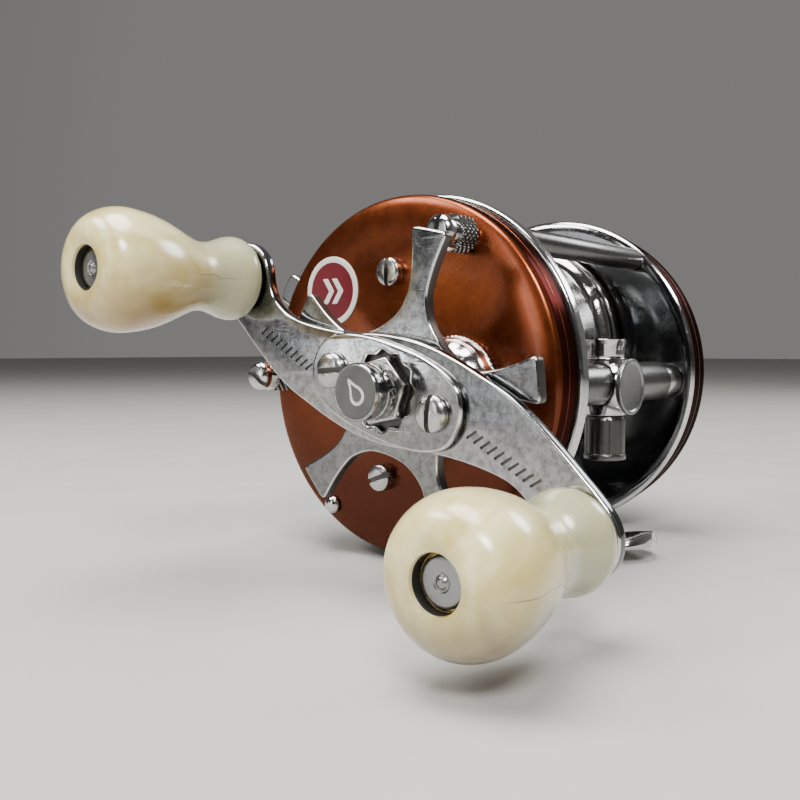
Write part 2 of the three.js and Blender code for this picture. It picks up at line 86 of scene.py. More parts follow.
CENTRE = middle("right_side_plate")
SPOOL = axis_of("spool_spin")
DRIVE = axis_of("handle_spin")
WORM = axis_of("worm_spin")
KNOBS = {"front": axis_of("knob_front_spin"), "rear": axis_of("knob_rear_spin")}
PLATE_R = radius_of("right_side_plate")
RING_R = radius_of("right_frame_plate")
FACE = high("right_side_plate").x
ON_FACE = FACE + 0.05
BLADE_IN, BLADE_OUT = ends("handle_blade")
HANDLE_ANGLE = math.atan2(KNOBS["front"][1] - DRIVE[1], KNOBS["front"][0] - DRIVE[0])
COVER_ANGLE = math.radians(-16.7)
_, press_y, press_z = JOINTS["clutch_press"]["axis"]
CLUTCH_ANGLE = math.atan2(-press_z, -press_y)

# ---------------- camera, in metres
camera = bpy.data.objects.new("camera", bpy.data.cameras.new("camera"))
bpy.context.collection.objects.link(camera)
camera.data.lens = 40.94
camera.data.sensor_width = 36
camera.data.clip_start = 0.005
look = Vector((-0.77006, -0.63553, -0.05586)).normalized()
right = look.cross(Vector((0, 0, 1))).normalized()
turn = Matrix((right, right.cross(look), -look)).transposed().to_4x4()
camera.matrix_world = Matrix.Translation((0.1323, 0.0879, 0.0327)) @ turn
bpy.context.scene.camera = camera

# ---------------- shape tools, in millimetres
SHARP = 38  # an edge that turns by more degrees than this stays sharp


def polar(r, degrees, centre=(0, 0)):
    a = math.radians(degrees)
    return (centre[0] + r * math.cos(a), centre[1] + r * math.sin(a))


def tilted(u, v, angle, centre):
    """(u, v) turned by the angle and moved to the centre."""
    c, s = math.cos(angle), math.sin(angle)
    return (centre[0] + u * c - v * s, centre[1] + u * s + v * c)


def on_handle(u, v):
    """(y, z) of a point u along the handle and v across it."""
    return tilted(u, v, HANDLE_ANGLE, DRIVE)


def circle(r, centre, n=64):
    return [polar(r, 360 * k / n, centre) for k in range(n)]


def between(a, b, c, d, t):
    """Value from b to c on a smooth curve through a, b, c and d."""
    return 0.5 * (2 * b + (c - a) * t + (2 * a - 5 * b + 4 * c - d) * t * t + (3 * b - a - 3 * c + d) * t**3)


def spline(points, per=6, closed=False):
    """Smooth line through the points, with per steps from each to the next."""
    n = len(points)
    result = []
    for i in range(n if closed else n - 1):
        if closed:
            near = [points[(i + k - 1) % n] for k in range(4)]
        else:
            near = [points[min(max(i + k - 1, 0), n - 1)] for k in range(4)]
        for j in range(per):
            result.append(tuple(between(*four, j / per) for four in zip(*near)))
    if not closed:
        result.append(tuple(points[-1]))
    return result


def soften(points, fillet=0.15, steps=3, closed=False):
    """Rounds the corners. A point's third number, if it has one, is its own fillet."""
    n = len(points)
    result = []
    for i, point in enumerate(points):
        here = Vector(point[:2])
        if not closed and i in (0, n - 1):
            result.append(tuple(here))
            continue
        before = Vector(points[i - 1][:2])
        after = Vector(points[(i + 1) % n][:2])
        reach = point[2] if len(point) > 2 else fillet
        a = min(reach, 0.48 * (before - here).length)
        b = min(reach, 0.48 * (after - here).length)
        if min(a, b) < 1e-4:
            result.append(tuple(here))
            continue
        start = here + (before - here).normalized() * a
        end = here + (after - here).normalized() * b
        for k in range(steps + 1):
            t = k / steps
            result.append(tuple(start * (1 - t) ** 2 + here * 2 * t * (1 - t) + end * t * t))
    return result


def finished(name, verts, faces, angle=SHARP):
    """Object from points in mm, smooth but for its sharp edges."""
    mesh = bpy.data.meshes.new(name)
    mesh.from_pydata([Vector(v) * 0.001 for v in verts], [], faces)
    mesh.validate()
    mesh.update()
    mesh.shade_smooth()
    mesh.set_sharp_from_angle(angle=math.radians(angle))
    obj = bpy.data.objects.new(name, mesh)
    bpy.context.collection.objects.link(obj)
    return obj


def turned(name, profile, centre, steps=96, press=None, angle=SHARP):
    """Turned piece about X through centre. The profile lists (x, radius) with the piece on its
    right-hand side. press(angle, x, r) may change the radius, for knurls and flutes."""
    closed = len(profile) > 2 and (Vector(profile[0][:2]) - Vector(profile[-1][:2])).length < 1e-6
    rows = profile[:-1] if closed else profile
    verts, rings = [], []
    for x, r in (p[:2] for p in rows):
        if r < 1e-5:
            verts.append((x, *centre))
            rings.append([len(verts) - 1] * steps)
            continue
        ring = []
        for k in range(steps):
            a = TAU * k / steps
            radius = press(a, x, r) if press else r
            ring.append(len(verts))
            verts.append((x, centre[0] + radius * math.cos(a), centre[1] + radius * math.sin(a)))
        rings.append(ring)
    faces = []
    count = len(rings)
    for i in range(count if closed else count - 1):
        p, q = rings[i], rings[(i + 1) % count]
        for k in range(steps):
            m = (k + 1) % steps
            face = [p[k], p[m], q[m], q[k]]
            face = [v for j, v in enumerate(face) if v not in face[:j]]
            if len(face) > 2:
                faces.append(face)
    obj = finished(name, verts, faces, angle)
    face_out(obj)
    return obj


def face_out(obj):
    """Turns the faces outward if the mesh is inside out."""
    mesh = obj.data
    volume = 0.0
    for polygon in mesh.polygons:
        points = [mesh.vertices[v].co for v in polygon.vertices]
        for k in range(1, len(points) - 1):
            volume += points[0].dot(points[k].cross(points[k + 1]))
    if volume < 0:
        mesh.flip_normals()
        mesh.update()


def area(outline):
    """Area of the outline, negative if it is clockwise."""
    return sum(a[0] * b[1] - b[0] * a[1] for a, b in zip(outline, outline[1:] + outline[:1])) / 2


def inset(outline, distance):
    """The outline, counterclockwise, moved inward."""
    n = len(outline)
    result = []
    for i in range(n):
        a, b, c = (Vector(outline[(i + k) % n]) for k in (-1, 0, 1))
        one, two = (b - a).normalized(), (c - b).normalized()
        normal = Vector((-(one + two).y, (one + two).x)).normalized()
        stretch = 1 / max(0.6, normal.dot(Vector((-one.y, one.x))))
        result.append(tuple(b + normal * distance * stretch))
    return result


def plate(name, outlines, x0, x1, bevel=0.25, steps=3):
    """Flat piece with rounded edges. The first outline of (y, z) points is the edge, the others
    are holes."""
    loops = []
    for i, outline in enumerate(outlines):
        outline = [tuple(p[:2]) for p in outline]
        if (area(outline) < 0) != (i > 0):
            outline.reverse()
        loops.append(outline)
    levels = []
    for k in range(steps + 1):
        t = math.pi / 2 * k / steps
        levels.append((x0 + bevel * (1 - math.sin(t)), bevel * (1 - math.cos(t))))
    levels.reverse()
    levels += [(x0 + x1 - x, d) for x, d in reversed(levels)]
    verts, faces, caps = [], [], []
    for loop in loops:
        n = len(loop)
        rings = []
        for x, d in levels:
            rings.append(len(verts))
            verts += [(x, y, z) for y, z in (inset(loop, d) if d > 1e-6 else loop)]
        for p, q in zip(rings, rings[1:]):
            for k in range(n):
                m = (k + 1) % n
                faces.append((p + k, p + m, q + m, q + k))
        caps.append((rings[0], rings[-1], n))
    for end in (0, 1):
        index = [c[end] + k for c in caps for k in range(c[2])]
        flat = [[Vector((*verts[c[end] + k][1:], 0)) for k in range(c[2])] for c in caps]
        corners = [corner for loop in flat for corner in loop]
        for tri in tessellate_polygon(flat):
            a, b, c = (corners[k] for k in tri)
            order = tri if (b - a).cross(c - a).z * (1 if end else -1) > 0 else tri[::-1]
            faces.append([index[k] for k in order])
    obj = finished(name, verts, faces, 50)
    obj.modifiers.new("even", "WEIGHTED_NORMAL").keep_sharp = True
    face_out(obj)
    return obj


def block(name, x, y, z, turn_by=0.0, about=(0, 0)):
    """Cutter: a plain box between the pairs of limits, turned about X."""
    square = ((y[0], z[0]), (y[1], z[0]), (y[1], z[1]), (y[0], z[1]))
    corners = [tilted(a, b, turn_by, about) for a, b in square]
    verts = [(x[0], *c) for c in corners] + [(x[1], *c) for c in corners]
    faces = [(3, 2, 1, 0), (4, 5, 6, 7), (0, 1, 5, 4), (1, 2, 6, 5), (2, 3, 7, 6), (3, 0, 4, 7)]
    return finished(name, verts, faces)


def upright(name, profile, x, y, steps=64, press=None):
    """Turned piece about a vertical axis; the profile lists (z, radius)."""
    piece = turned(name, profile, (0, 0), steps, press)
    piece.data.transform(Matrix(((0, 1, 0, x / 1000), (0, 0, 1, y / 1000), (1, 0, 0, 0), (0, 0, 0, 1))))
    return piece


def facing_front(name, profile, x, z, steps=64):
    """Turned piece about an axis along Y; the profile lists (y, radius)."""
    piece = turned(name, profile, (0, 0), steps)
    piece.data.transform(Matrix(((0, 0, 1, x / 1000), (1, 0, 0, 0), (0, 1, 0, z / 1000), (0, 0, 0, 1))))
    return piece


def fluted(count, depth, x_limits, r_limits, power=1):
    """Flutes for turned(), where x and the radius are between the limits."""

    def press(a, x, r):
        inside = x_limits[0] < x < x_limits[1] and r_limits[0] < r < r_limits[1]
        return r - (depth * (0.5 + 0.5 * math.cos(count * a)) ** power if inside else 0)

    return press


def knurl(radius, x0, x1, count, depth):
    """Crossed knurling for turned(), on a band of this radius."""

    def press(a, x, r):
        if abs(r - radius) > 0.02 or not x0 <= x <= x1:
            return r
        lean = x * count / (TAU * radius)
        one = abs((a * count / TAU + lean) % 1.0 - 0.5) * 2
        two = abs((a * count / TAU - lean) % 1.0 - 0.5) * 2
        return r - depth * max(one, two) ** 1.7

    return press


def smooth(t, a, b):
    """0 below a, 1 above b, and a smooth curve between them."""
    k = min(max((t - a) / (b - a), 0.0), 1.0)
    return k * k * (3 - 2 * k)


def carve(obj, *cutters, join=None, bevel=0.0):
    """Joins a piece to obj if it is given, cuts the cutters out of it, and breaks its edges."""
    steps = [("UNION", join)] if join else []
    steps += [("DIFFERENCE", cutter) for cutter in cutters]
    for operation, other in steps:
        step = obj.modifiers.new("combine", "BOOLEAN")
        step.operation, step.solver, step.object = operation, "EXACT", other
    if bevel:
        step = obj.modifiers.new("edge", "BEVEL")
        step.width = bevel * 0.001
        step.segments = 2
        step.limit_method = "ANGLE"
        step.angle_limit = math.radians(50)
    bpy.context.view_layer.update()
    done = bpy.data.meshes.new_from_object(obj.evaluated_get(bpy.context.evaluated_depsgraph_get()))
    obj.modifiers.clear()
    obj.data = done
    done.shade_smooth()
    done.set_sharp_from_angle(angle=math.radians(SHARP))
    for _, other in steps:
        bpy.data.objects.remove(other)


# ---------------- material tools
def add_node(tree, kind, **inputs):
    """New shader node. Each input, with _ for a space in its name, is a value or a socket."""
    node = tree.nodes.new("ShaderNode" + kind)
    for key, value in inputs.items():
        socket = node.inputs[key.replace("_", " ")]
        if isinstance(value, bpy.types.NodeSocket):
            tree.links.new(value, socket)
        else:
            socket.default_value = value
    return node


class Shader:
    """A procedural material on object coordinates in millimetres."""

    def __init__(self, name, color, metallic, roughness, **sockets):
        self.material = bpy.data.materials.new(name)
        self.material.use_nodes = True
        self.tree = self.material.node_tree
        self.surface = self.tree.nodes["Principled BSDF"]
        self.set("Base Color", (*color, 1))
        self.set("Metallic", metallic)
        self.set("Roughness", roughness)
        for key, value in sockets.items():
            self.set(key.replace("_", " "), value)
        scale = self.node("VectorMath", Vector=self.node("TexCoord").outputs["Object"])
        scale.operation = "SCALE"
        scale.inputs["Scale"].default_value = 1000
        self.place = scale.outputs[0]

    def node(self, kind, **inputs):
        return add_node(self.tree, kind, **inputs)

    def set(self, socket, value):
        self.surface.inputs[socket].default_value = value

    def link(self, a, b):
        self.tree.links.new(a, b)

    def to(self, socket, value):
        self.link(value, self.surface.inputs[socket])

    def stretched(self, x, y, z):
        """The coordinates with each axis multiplied."""
        node = self.node("VectorMath", Vector=self.place)
        node.operation = "MULTIPLY"
        node.inputs[1].default_value = (x, y, z)
        return node.outputs[0]

    def noise(self, scale, detail=4, rough=0.55, distortion=0.0, place=None):
        node = self.node("TexNoise", Scale=scale, Detail=detail, Roughness=rough, Distortion=distortion)
        self.link(place or self.place, node.inputs["Vector"])
        return node.outputs[0]

    def cells(self, scale):
        """Distance to the nearest of scattered points."""
        return self.node("TexVoronoi", Vector=self.place, Scale=scale).outputs["Distance"]

    def axes(self):
        """x, y and z as three sockets."""
        return self.node("SeparateXYZ", Vector=self.place).outputs

    def span(self, value, a, b, to_a=0.0, to_b=1.0):
        """Maps value from a..b to to_a..to_b."""
        limits = {"From_Min": a, "From_Max": b, "To_Min": to_a, "To_Max": to_b}
        return self.node("MapRange", Value=value, **limits).outputs["Result"]

    def calculate(self, kind, *values):
        """Math node on sockets and numbers."""
        node = self.node("Math")
        node.operation = kind
        for socket, value in zip(node.inputs, values):
            if isinstance(value, (int, float)):
                socket.default_value = value
            else:
                self.link(value, socket)
        return node.outputs[0]

    def plus(self, a, b):
        return self.calculate("ADD", a, b)

    def minus(self, a, b):
        return self.calculate("SUBTRACT", a, b)

    def times(self, a, b):
        return self.calculate("MULTIPLY", a, b)

    def mix(self, factor, a, b):
        """Colour between a and b, each a colour or a socket."""
        node = self.node("Mix")
        node.data_type = "RGBA"
        self.link(factor, node.inputs["Factor"])
        for socket, value in ((node.inputs[6], a), (node.inputs[7], b)):
            if isinstance(value, tuple):
                socket.default_value = (*value, 1)
            else:
                self.link(value, socket)
        return node.outputs[2]

    def bump(self, height, strength, distance=0.02):
        """Relief, with the distance in millimetres."""
        node = self.node("Bump", Height=height, Strength=strength, Distance=distance * 0.001)
        self.to("Normal", node.outputs["Normal"])


# ---------------- materials
def make_chrome(name, tint, rough, stain, patina, yellowing=0.0, painted_light_top=None):
    """Plated metal with hairline scratches, pits and a brown stain. If painted_light_top (colour, z0, z1) is
    given, the tint changes to that colour from height z0 to height z1, a painted highlight that makes the
    top lighter."""
    s = Shader(name, tint, 1.0, rough)
    cloud = s.noise(0.16, 5, 0.6, 0.6)
    pepper = s.span(s.noise(2.6, 6, 0.75), 0.52, 0.66)
    blotch = s.times(s.span(cloud, 0.46, 0.62), pepper)
    aged = tint
    if yellowing:
        old = s.span(s.noise(0.075, 4, 0.6, 0.8), 0.45, 0.62, 0.0, yellowing)
        aged = s.mix(old, tint, (0.42, 0.36, 0.24))
    # painted highlight: the tint turns lighter with height
    if painted_light_top:
        colour, z0, z1 = painted_light_top
        aged = s.mix(s.span(s.axes()[2], z0, z1), aged, colour)
    pits = s.span(s.cells(1.3), 0.0, 0.12, -1.0, 0.0)
    mottle = s.span(s.noise(1.1, 5, 0.7), 0.42, 0.64, 0.0, patina * 0.8)
    mottled = s.mix(s.minus(mottle, s.times(pits, patina * 0.5)), aged, stain)
    s.to("Base Color", s.mix(s.times(blotch, patina), mottled, stain))
    along = s.noise(1.0, 3, 0.6, 0.0, s.stretched(4.0, 0.35, 9.0))
    across = s.noise(1.0, 3, 0.6, 0.0, s.stretched(5.0, 8.0, 0.4))
    scratches = s.plus(s.span(along, 0.62, 0.7), s.span(across, 0.64, 0.7))
    wear = s.plus(s.span(cloud, 0.35, 0.7, rough * 0.7, rough * 1.7), s.times(scratches, 0.05))
    s.to("Roughness", s.plus(wear, s.times(blotch, 0.16)))
    relief = s.plus(s.times(pits, 0.5), s.times(scratches, -0.35))
    relief = s.plus(relief, s.times(blotch, -0.4))
    dents = s.times(s.noise(0.2, 2), 9.0 * patina)
    s.bump(s.plus(relief, dents), 0.16 + patina * 0.15)
    return s


def make_lacquer(name, rough, coat, edge, thin, thick, tone_and_shade_below):
    """Clear copper-bronze lacquer over metal, softly cloudy underneath, with small chips, and turning to
    tone_and_shade_below lower down as painted shade. edge is the colour that it mirrors at a glancing angle."""
    s = Shader(name, thick, 0.92, rough, Coat_Weight=coat, Coat_Roughness=0.12)
    s.set("Specular Tint", (*edge, 1))
    cloud = s.noise(0.07, 4, 0.55, 0.8)
    upper = s.mix(s.span(cloud, 0.3, 0.72), thick, thin)
    # painted shade: darker from height 40 mm down to 12 mm
    deep = s.mix(s.span(s.axes()[2], 40.0, 12.0), upper, tone_and_shade_below)
    spots = s.span(s.cells(0.5), 0.0, 0.03, 1.0, 0.0)
    where = s.span(s.noise(0.35, 3), 0.61, 0.64)
    chips = s.times(s.times(spots, where), 0.8)
    s.to("Base Color", s.mix(chips, deep, (0.75, 0.55, 0.42)))
    s.to("Roughness", s.span(s.noise(0.35, 5, 0.6), 0.3, 0.75, rough * 0.9, rough * 1.15))
    s.bump(s.plus(s.times(s.noise(7.0, 2), 0.06), s.times(chips, -1.0)), 0.08)
    return s


def make_pearl(name, at, tone_and_shade_below, split, x0, x1):
    """Cream pearl plastic: silky streaks along the knob, the colour tone_and_shade_below toward the bottom,
    which is partly the plastic's own amber and partly painted shade, greyer at the neck, and one hairline
    crack from x0 to x1 at the angle split, in degrees."""
    s = Shader(
        name, (0.66, 0.58, 0.34), 0.0, 0.2, Coat_Weight=1.0, Coat_Roughness=0.25,
        Subsurface_Weight=0.15, Subsurface_Scale=0.0015,
    )
    s.set("Subsurface Radius", (0.7, 0.6, 0.35))
    x, y, z = s.axes()
    silk = s.noise(0.16, 4, 0.5, 1.2, s.stretched(0.35, 1.0, 1.0))
    cream = s.mix(s.span(silk, 0.35, 0.68), (0.62, 0.51, 0.19), (0.86, 0.79, 0.43))
    # amber toward the bottom: partly the plastic's own colour, partly painted shade
    drift = s.plus(z, s.span(s.noise(0.12, 2), 0.3, 0.7, -1.6, 1.6))
    amber_and_shade = s.mix(s.span(drift, at[1] + 1.5, at[1] - 7.0, 0.0, 0.95), cream, tone_and_shade_below)
    neck = s.span(s.plus(x, s.span(silk, 0.3, 0.7, -2.0, 2.0)), 54.5, 50.0, 0.0, 0.85)
    body = s.mix(neck, amber_and_shade, (0.36, 0.37, 0.235))
    c, d = math.cos(math.radians(split)), math.sin(math.radians(split))
    side = s.plus(s.times(y, -d), s.times(z, c))
    wander = s.span(s.noise(0.3, 3), 0.3, 0.7, -0.3, 0.3)
    offset = s.minus(s.plus(side, wander), at[1] * c - at[0] * d)
    ahead = s.plus(s.times(y, c), s.times(z, d))
    outward = s.span(s.minus(ahead, at[0] * c + at[1] * d), 2.0, 3.0)
    reach = s.times(s.span(x, x0, x0 + 1.5), s.span(x, x1, x1 - 2.0))
    line = s.span(s.calculate("ABSOLUTE", offset), 0.03, 0.08, 0.7, 0.0)
    crack = s.times(s.times(line, outward), reach)
    s.to("Base Color", s.mix(crack, body, (0.10, 0.06, 0.03)))
    s.to("Roughness", s.span(s.noise(0.5, 5, 0.6), 0.35, 0.75, 0.17, 0.27))
    s.bump(s.minus(s.times(s.noise(0.6, 2), 0.3), crack), 0.12, 0.05)
    return s


def make_metal(name, color, rough, stretch=(3.0, 1.0, 1.0)):
    """Machined metal with fine tool marks."""
    s = Shader(name, color, 1.0, rough)
    marks = s.noise(2.2, 5, 0.65, 0.0, s.stretched(*stretch))
    dull = s.span(s.noise(0.35, 4, 0.6, 0.5), 0.45, 0.75, 0.0, 0.5)
    s.to("Base Color", s.mix(dull, color, tuple(c * 0.55 for c in color)))
    s.to("Roughness", s.span(marks, 0.3, 0.7, rough * 0.75, rough * 1.35))
    s.bump(marks, 0.12)
    return s


def make_plain(name, color, rough, grain=6.0, coat=0.0):
    """Non-metal with a fine grain."""
    s = Shader(name, color, 0.0, rough, Coat_Weight=coat, Coat_Roughness=0.08)
    speck = s.noise(grain, 4, 0.7)
    s.to("Base Color", s.mix(s.span(speck, 0.4, 0.7, 0.0, 0.5), color, tuple(c * 0.7 for c in color)))
    s.to("Roughness", s.span(speck, 0.3, 0.7, rough * 0.85, min(1.0, rough * 1.15)))
    s.bump(speck, 0.08)
    return s


GRIME = (0.075, 0.065, 0.05)
CHROME = make_chrome("chrome", (0.60, 0.605, 0.61), 0.10, (0.22, 0.17, 0.11), 0.30)
# Near-black chrome as painted shade for inner faces and the sides of flat pieces, turning lighter from
# height 44 to 51 as a painted highlight.
SHADED = make_chrome(
    "painted_shade_chrome", (0.12, 0.125, 0.13), 0.10, (0.05, 0.045, 0.04), 0.30, 0.0,
    ((0.55, 0.56, 0.58), 44.0, 51.0),
)
WORN = make_chrome("worn_chrome", (0.38, 0.39, 0.405), 0.13, GRIME, 0.7, 0.2)
# Darker copy of the worn chrome for the star, lighter from height 17 to 31: painted shade and painted
# highlight.
WORN_STAR_PAINTED_LIGHT = make_chrome(
    "star_chrome_painted_light", (0.21, 0.215, 0.225), 0.13, GRIME, 0.7, 0.2, ((0.35, 0.36, 0.375), 17.0, 31.0)
)
# Darker copy of the worn chrome for the cover, lighter from height 21 to 32: painted shade and painted
# highlight.
WORN_COVER_PAINTED_LIGHT = make_chrome(
    "cover_chrome_painted_light", (0.26, 0.265, 0.275), 0.13, GRIME, 0.6, 0.2, ((0.50, 0.51, 0.53), 21.0, 32.0)
)
STEEL = make_metal("steel", (0.50, 0.50, 0.49), 0.22)
# Steel darkened as painted shade, for the carriage's front disc and the knob spindles.
TURNED_SHADED = make_metal("turned_steel_painted_shade", (0.28, 0.285, 0.29), 0.30)
# Steel darker than plain steel as painted shade, for the rod, the tube, the pawl's cup and the oil cap's
# face.
SATIN_SHADED = make_metal("satin_steel_painted_shade", (0.15, 0.15, 0.145), 0.30, (1.0, 4.0, 4.0))
# Near-black metal as painted shade in slots, stamped marks, cup insides, under the cover's opening and on
# the star's sides.
PAINTED_SHADE = make_metal("painted_shade_metal", (0.10, 0.095, 0.09), 0.38)
BRASS = make_metal("brass", (0.50, 0.34, 0.12), 0.26)
# Its colour below is painted shade: darker copper low down.
LACQUER = make_lacquer(
    "bronze_lacquer", 0.27, 0.2, (0.8, 0.6, 0.5),
    thin=(0.30, 0.074, 0.025), thick=(0.13, 0.027, 0.009), tone_and_shade_below=(0.062, 0.012, 0.003),
)
# Darker copy of the lacquer for the rim bands: painted shade, with its glancing reflection darkened too.
SHADED_RIM = make_lacquer(
    "rim_lacquer_painted_shade", 0.22, 0.0, (0.28, 0.16, 0.11),
    thin=(0.075, 0.025, 0.013), thick=(0.05, 0.015, 0.008), tone_and_shade_below=(0.035, 0.010, 0.005),
)
# Their colours below are partly the plastic's amber and partly painted shade.
PEARLS = {
    "front": make_pearl("pearl_front", KNOBS["front"], (0.17, 0.125, 0.06), -5, 54.5, 68.0),
    "rear": make_pearl("pearl_rear", KNOBS["rear"], (0.26, 0.15, 0.035), -3, 46.5, 57.0),
}
FIBRE = make_plain("fibre", (0.045, 0.035, 0.030), 0.7)
# Near-black as painted shadow in knurl grooves and knob holes.
RECESS_SHADOW = make_plain("painted_recess_shadow", (0.010, 0.009, 0.008), 0.5)
RED = make_plain("badge_red", (0.115, 0.003, 0.009), 0.38, 5.0, 0.03)
WHITE = make_plain("badge_white", (0.68, 0.67, 0.62), 0.38, 5.0, 0.15)


REPLACED = set()


def dress(obj, shader, body, slot, *nodes):
    """Gives the piece its material, body and the CAD nodes it stands for. The slot is not used."""
    REPLACED.update(nodes)
    obj.data.materials.clear()
    obj.data.materials.append(shader.material)
    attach(obj, body)
    if nodes:
        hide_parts(*nodes)


def paint(obj, shader, test):
    """Another material for the faces that pass test(centre in mm, normal)."""
    obj.data.materials.append(shader.material)
    for polygon in obj.data.polygons:
        if test(polygon.center * 1000, polygon.normal):
            polygon.material_index = len(obj.data.materials) - 1


def edge_highlight_side_shade(obj, sides=SHADED):
    """Painted highlight and painted shade on a flat piece that faces +X: the brighter chrome on its rounded
    edge and a darker material on its sides.
    """
    paint(obj, CHROME, lambda centre, normal: 0.25 < normal.x < 0.97)
    paint(obj, sides, lambda centre, normal: abs(normal.x) <= 0.25)


def facing_out_at(x, slack=0.02):
    """Test for the faces that lie at x and face +X."""
    return lambda centre, normal: abs(centre.x - x) < slack and normal.x > 0.9


def hidden_side(sign):
    """Test for the faces on the inside of a cup that opens towards -sign * X."""

    def test(centre, normal):
        out = Vector((0, centre.y - CENTRE[0], centre.z - CENTRE[1]))
        return normal.x * sign < -0.3 or (out.length < PLATE_R - 0.9 and normal.dot(out) < 0)

    return test


# ---------------- side plates and frame rings
WALL = 1.05  # thickness of a side plate's edge
TAB_HALF = 2.6  # half the width of the clutch tab
CLICK = (2.0, middle("click_button")[1])  # (y, z) of the click button at rest


def make_near_cup():
    """The handle side's plate: a shallow cup with a groove around it and a slot for the tab."""
    x0, r, inner, play = low("right_side_plate").x, PLATE_R, FACE - 1.5, 0.3
    profile = [
        (x0, r - WALL), (x0, r, 0.15), (x0 + 2.25, r, 0.05), (x0 + 2.35, r - 0.12, 0.05),
        (x0 + 2.45, r, 0.05), (x0 + 4.05, r, 0.7), (x0 + 4.85, r - 0.3, 0.5), (x0 + 5.2, r - 1.3, 0.5),
        (x0 + 5.55, r - 3.1, 1.2), (FACE, r - 4.9, 1.0), (FACE, 0),
    ]
    inside = [(inner, 0), (inner, r - 2), (x0 + 3.5, r - WALL), (x0, r - WALL)]
    cup = turned("handle_side_cup", soften(profile, 0.2, 4) + inside, CENTRE, 160, angle=25)
    deep = (low("clutch_button").x - play, high("clutch_button").x + play)
    half = TAB_HALF + play
    carve(cup, block("slot", deep, (r - 4.5, r + 3.5), (-half, half), CLUTCH_ANGLE, CENTRE))
    dress(cup, LACQUER, "frame", "bronze_lacquer", "right_side_plate")
    # Painted shade: the darker rim lacquer on the rim band and near-black metal inside the cup.
    paint(cup, SHADED_RIM, lambda centre, normal: abs(normal.x) < 0.45 and centre.x < x0 + 4.3)
    paint(cup, PAINTED_SHADE, hidden_side(1))


def make_far_cup():
    """The far side's domed cup, with a window for the click button and a boss on the spool's axis."""
    x0, r, end = high("left_side_plate").x, PLATE_R, low("left_side_plate").x
    profile = [
        (x0 - 5.6, 0), (x0 - 5.2, r - 7.5), (x0 - 3.9, r - WALL), (x0, r - WALL), (x0, r, 0.15),
        (x0 - 2.1, r, 0.05), (x0 - 2.2, r - 0.12, 0.05), (x0 - 2.3, r, 0.05), (x0 - 4.2, r, 0.8),
        (x0 - 5.4, r - 0.55, 0.8), (x0 - 6.0, r - 2.1, 1.0), (x0 - 6.6, r - 7.5, 4), (x0 - 7.0, 9, 3),
        (x0 - 7.0, 0),
    ]
    cup = turned("far_side_cup", soften(profile, 0.2, 4), CENTRE, 160, angle=25)
    half, travel = 1.3, JOINTS["click_slide"]["range_m"][1] * 1000
    y0, y1, z0, z1 = CLICK[0] - half, CLICK[0] + travel + half, CLICK[1] - half, CLICK[1] + half
    window = soften([(y0, z0), (y1, z0), (y1, z1), (y0, z1)], 1.2, 5, True)
    carve(cup, plate("window", [window], x0 - 8.5, x0 - 3.5, 0.01, 1))
    dress(cup, LACQUER, "frame", "bronze_lacquer", "left_side_plate")
    # Painted shade: the darker rim lacquer on the rim band and near-black metal inside the cup.
    paint(cup, SHADED_RIM, lambda centre, normal: abs(normal.x) < 0.45)
    paint(cup, PAINTED_SHADE, hidden_side(-1))
    boss = [(x0 - 0.3, 4.3), (x0 - 0.3, 5.3), (end, 5.3), (end, 1.6), (x0 - 3.5, 1.6), (x0 - 3.5, 4.3)]
    dress(turned("far_side_boss", soften(boss, 0.12, 2, True), SPOOL, 64), STEEL, "frame", "steel")


def make_control_cap():
    """The cast control cap: a fluted cup over the boss."""
    x, end, r, bore = high("tension_cap").x, low("tension_cap").x, 6.9, 5.65
    profile = [
        (x, bore), (x, r, 0.2), (x - 3.3, r, 0.2), (x - 3.9, r - 0.5, 0.3), (x - 4.3, r - 2.1, 0.8),
        (end, 0),
    ]
    inside = [(x - 2.3, 0), (x - 2.3, bore), (x, bore)]
    flutes = fluted(36, 0.22, (end, x - 0.2), (r - 0.3, r + 0.1), 2)
    cap = turned("cast_control_cap", soften(profile, 0.1, 3) + inside, SPOOL, 144, flutes)
    dress(cap, CHROME, "tension", "chrome", "tension_cap")


def make_rings():
    for side, node in (("near", "right_frame_plate"), ("far", "left_frame_plate")):
        x0, x1 = ends(node)
        outlines = [circle(RING_R, CENTRE, 180), circle(19.15, SPOOL, 120), circle(1.9, WORM, 32)]
        ring = plate(f"{side}_ring", outlines, x0, x1, 0.55, 4)
        if side == "far":
            round_off(ring, x1)
        dress(ring, CHROME, "frame", "chrome", node)
        # Painted shade: the inner face gets the near-black chrome, and the far ring's outer edge gets the
        # darker rim lacquer.
        if side == "near":
            paint(ring, SHADED, lambda centre, normal: normal.x < -0.985)
        else:
            paint(ring, SHADED, lambda centre, normal: normal.x > 0.9)
            paint(ring, SHADED_RIM, on_outer_edge)


def round_off(ring, x):
    """Rounds the ring's edge at x on a quarter of an ellipse."""
    start = RING_R - 2.0
    arc = [(x - 1 + math.cos(k / 8), start + 2.05 * math.sin(k / 8)) for k in range(13)]
    profile = [(x + 1, start), *arc, (x + 1, RING_R + 0.5), (x + 1, start)]
    carve(ring, turned("rounding", profile, CENTRE, 180))


def on_outer_edge(centre, normal):
    """Test for the faces on the far ring's outer edge."""
    return normal.x < 0.6 and math.dist(centre.yz, CENTRE) > RING_R - 0.7


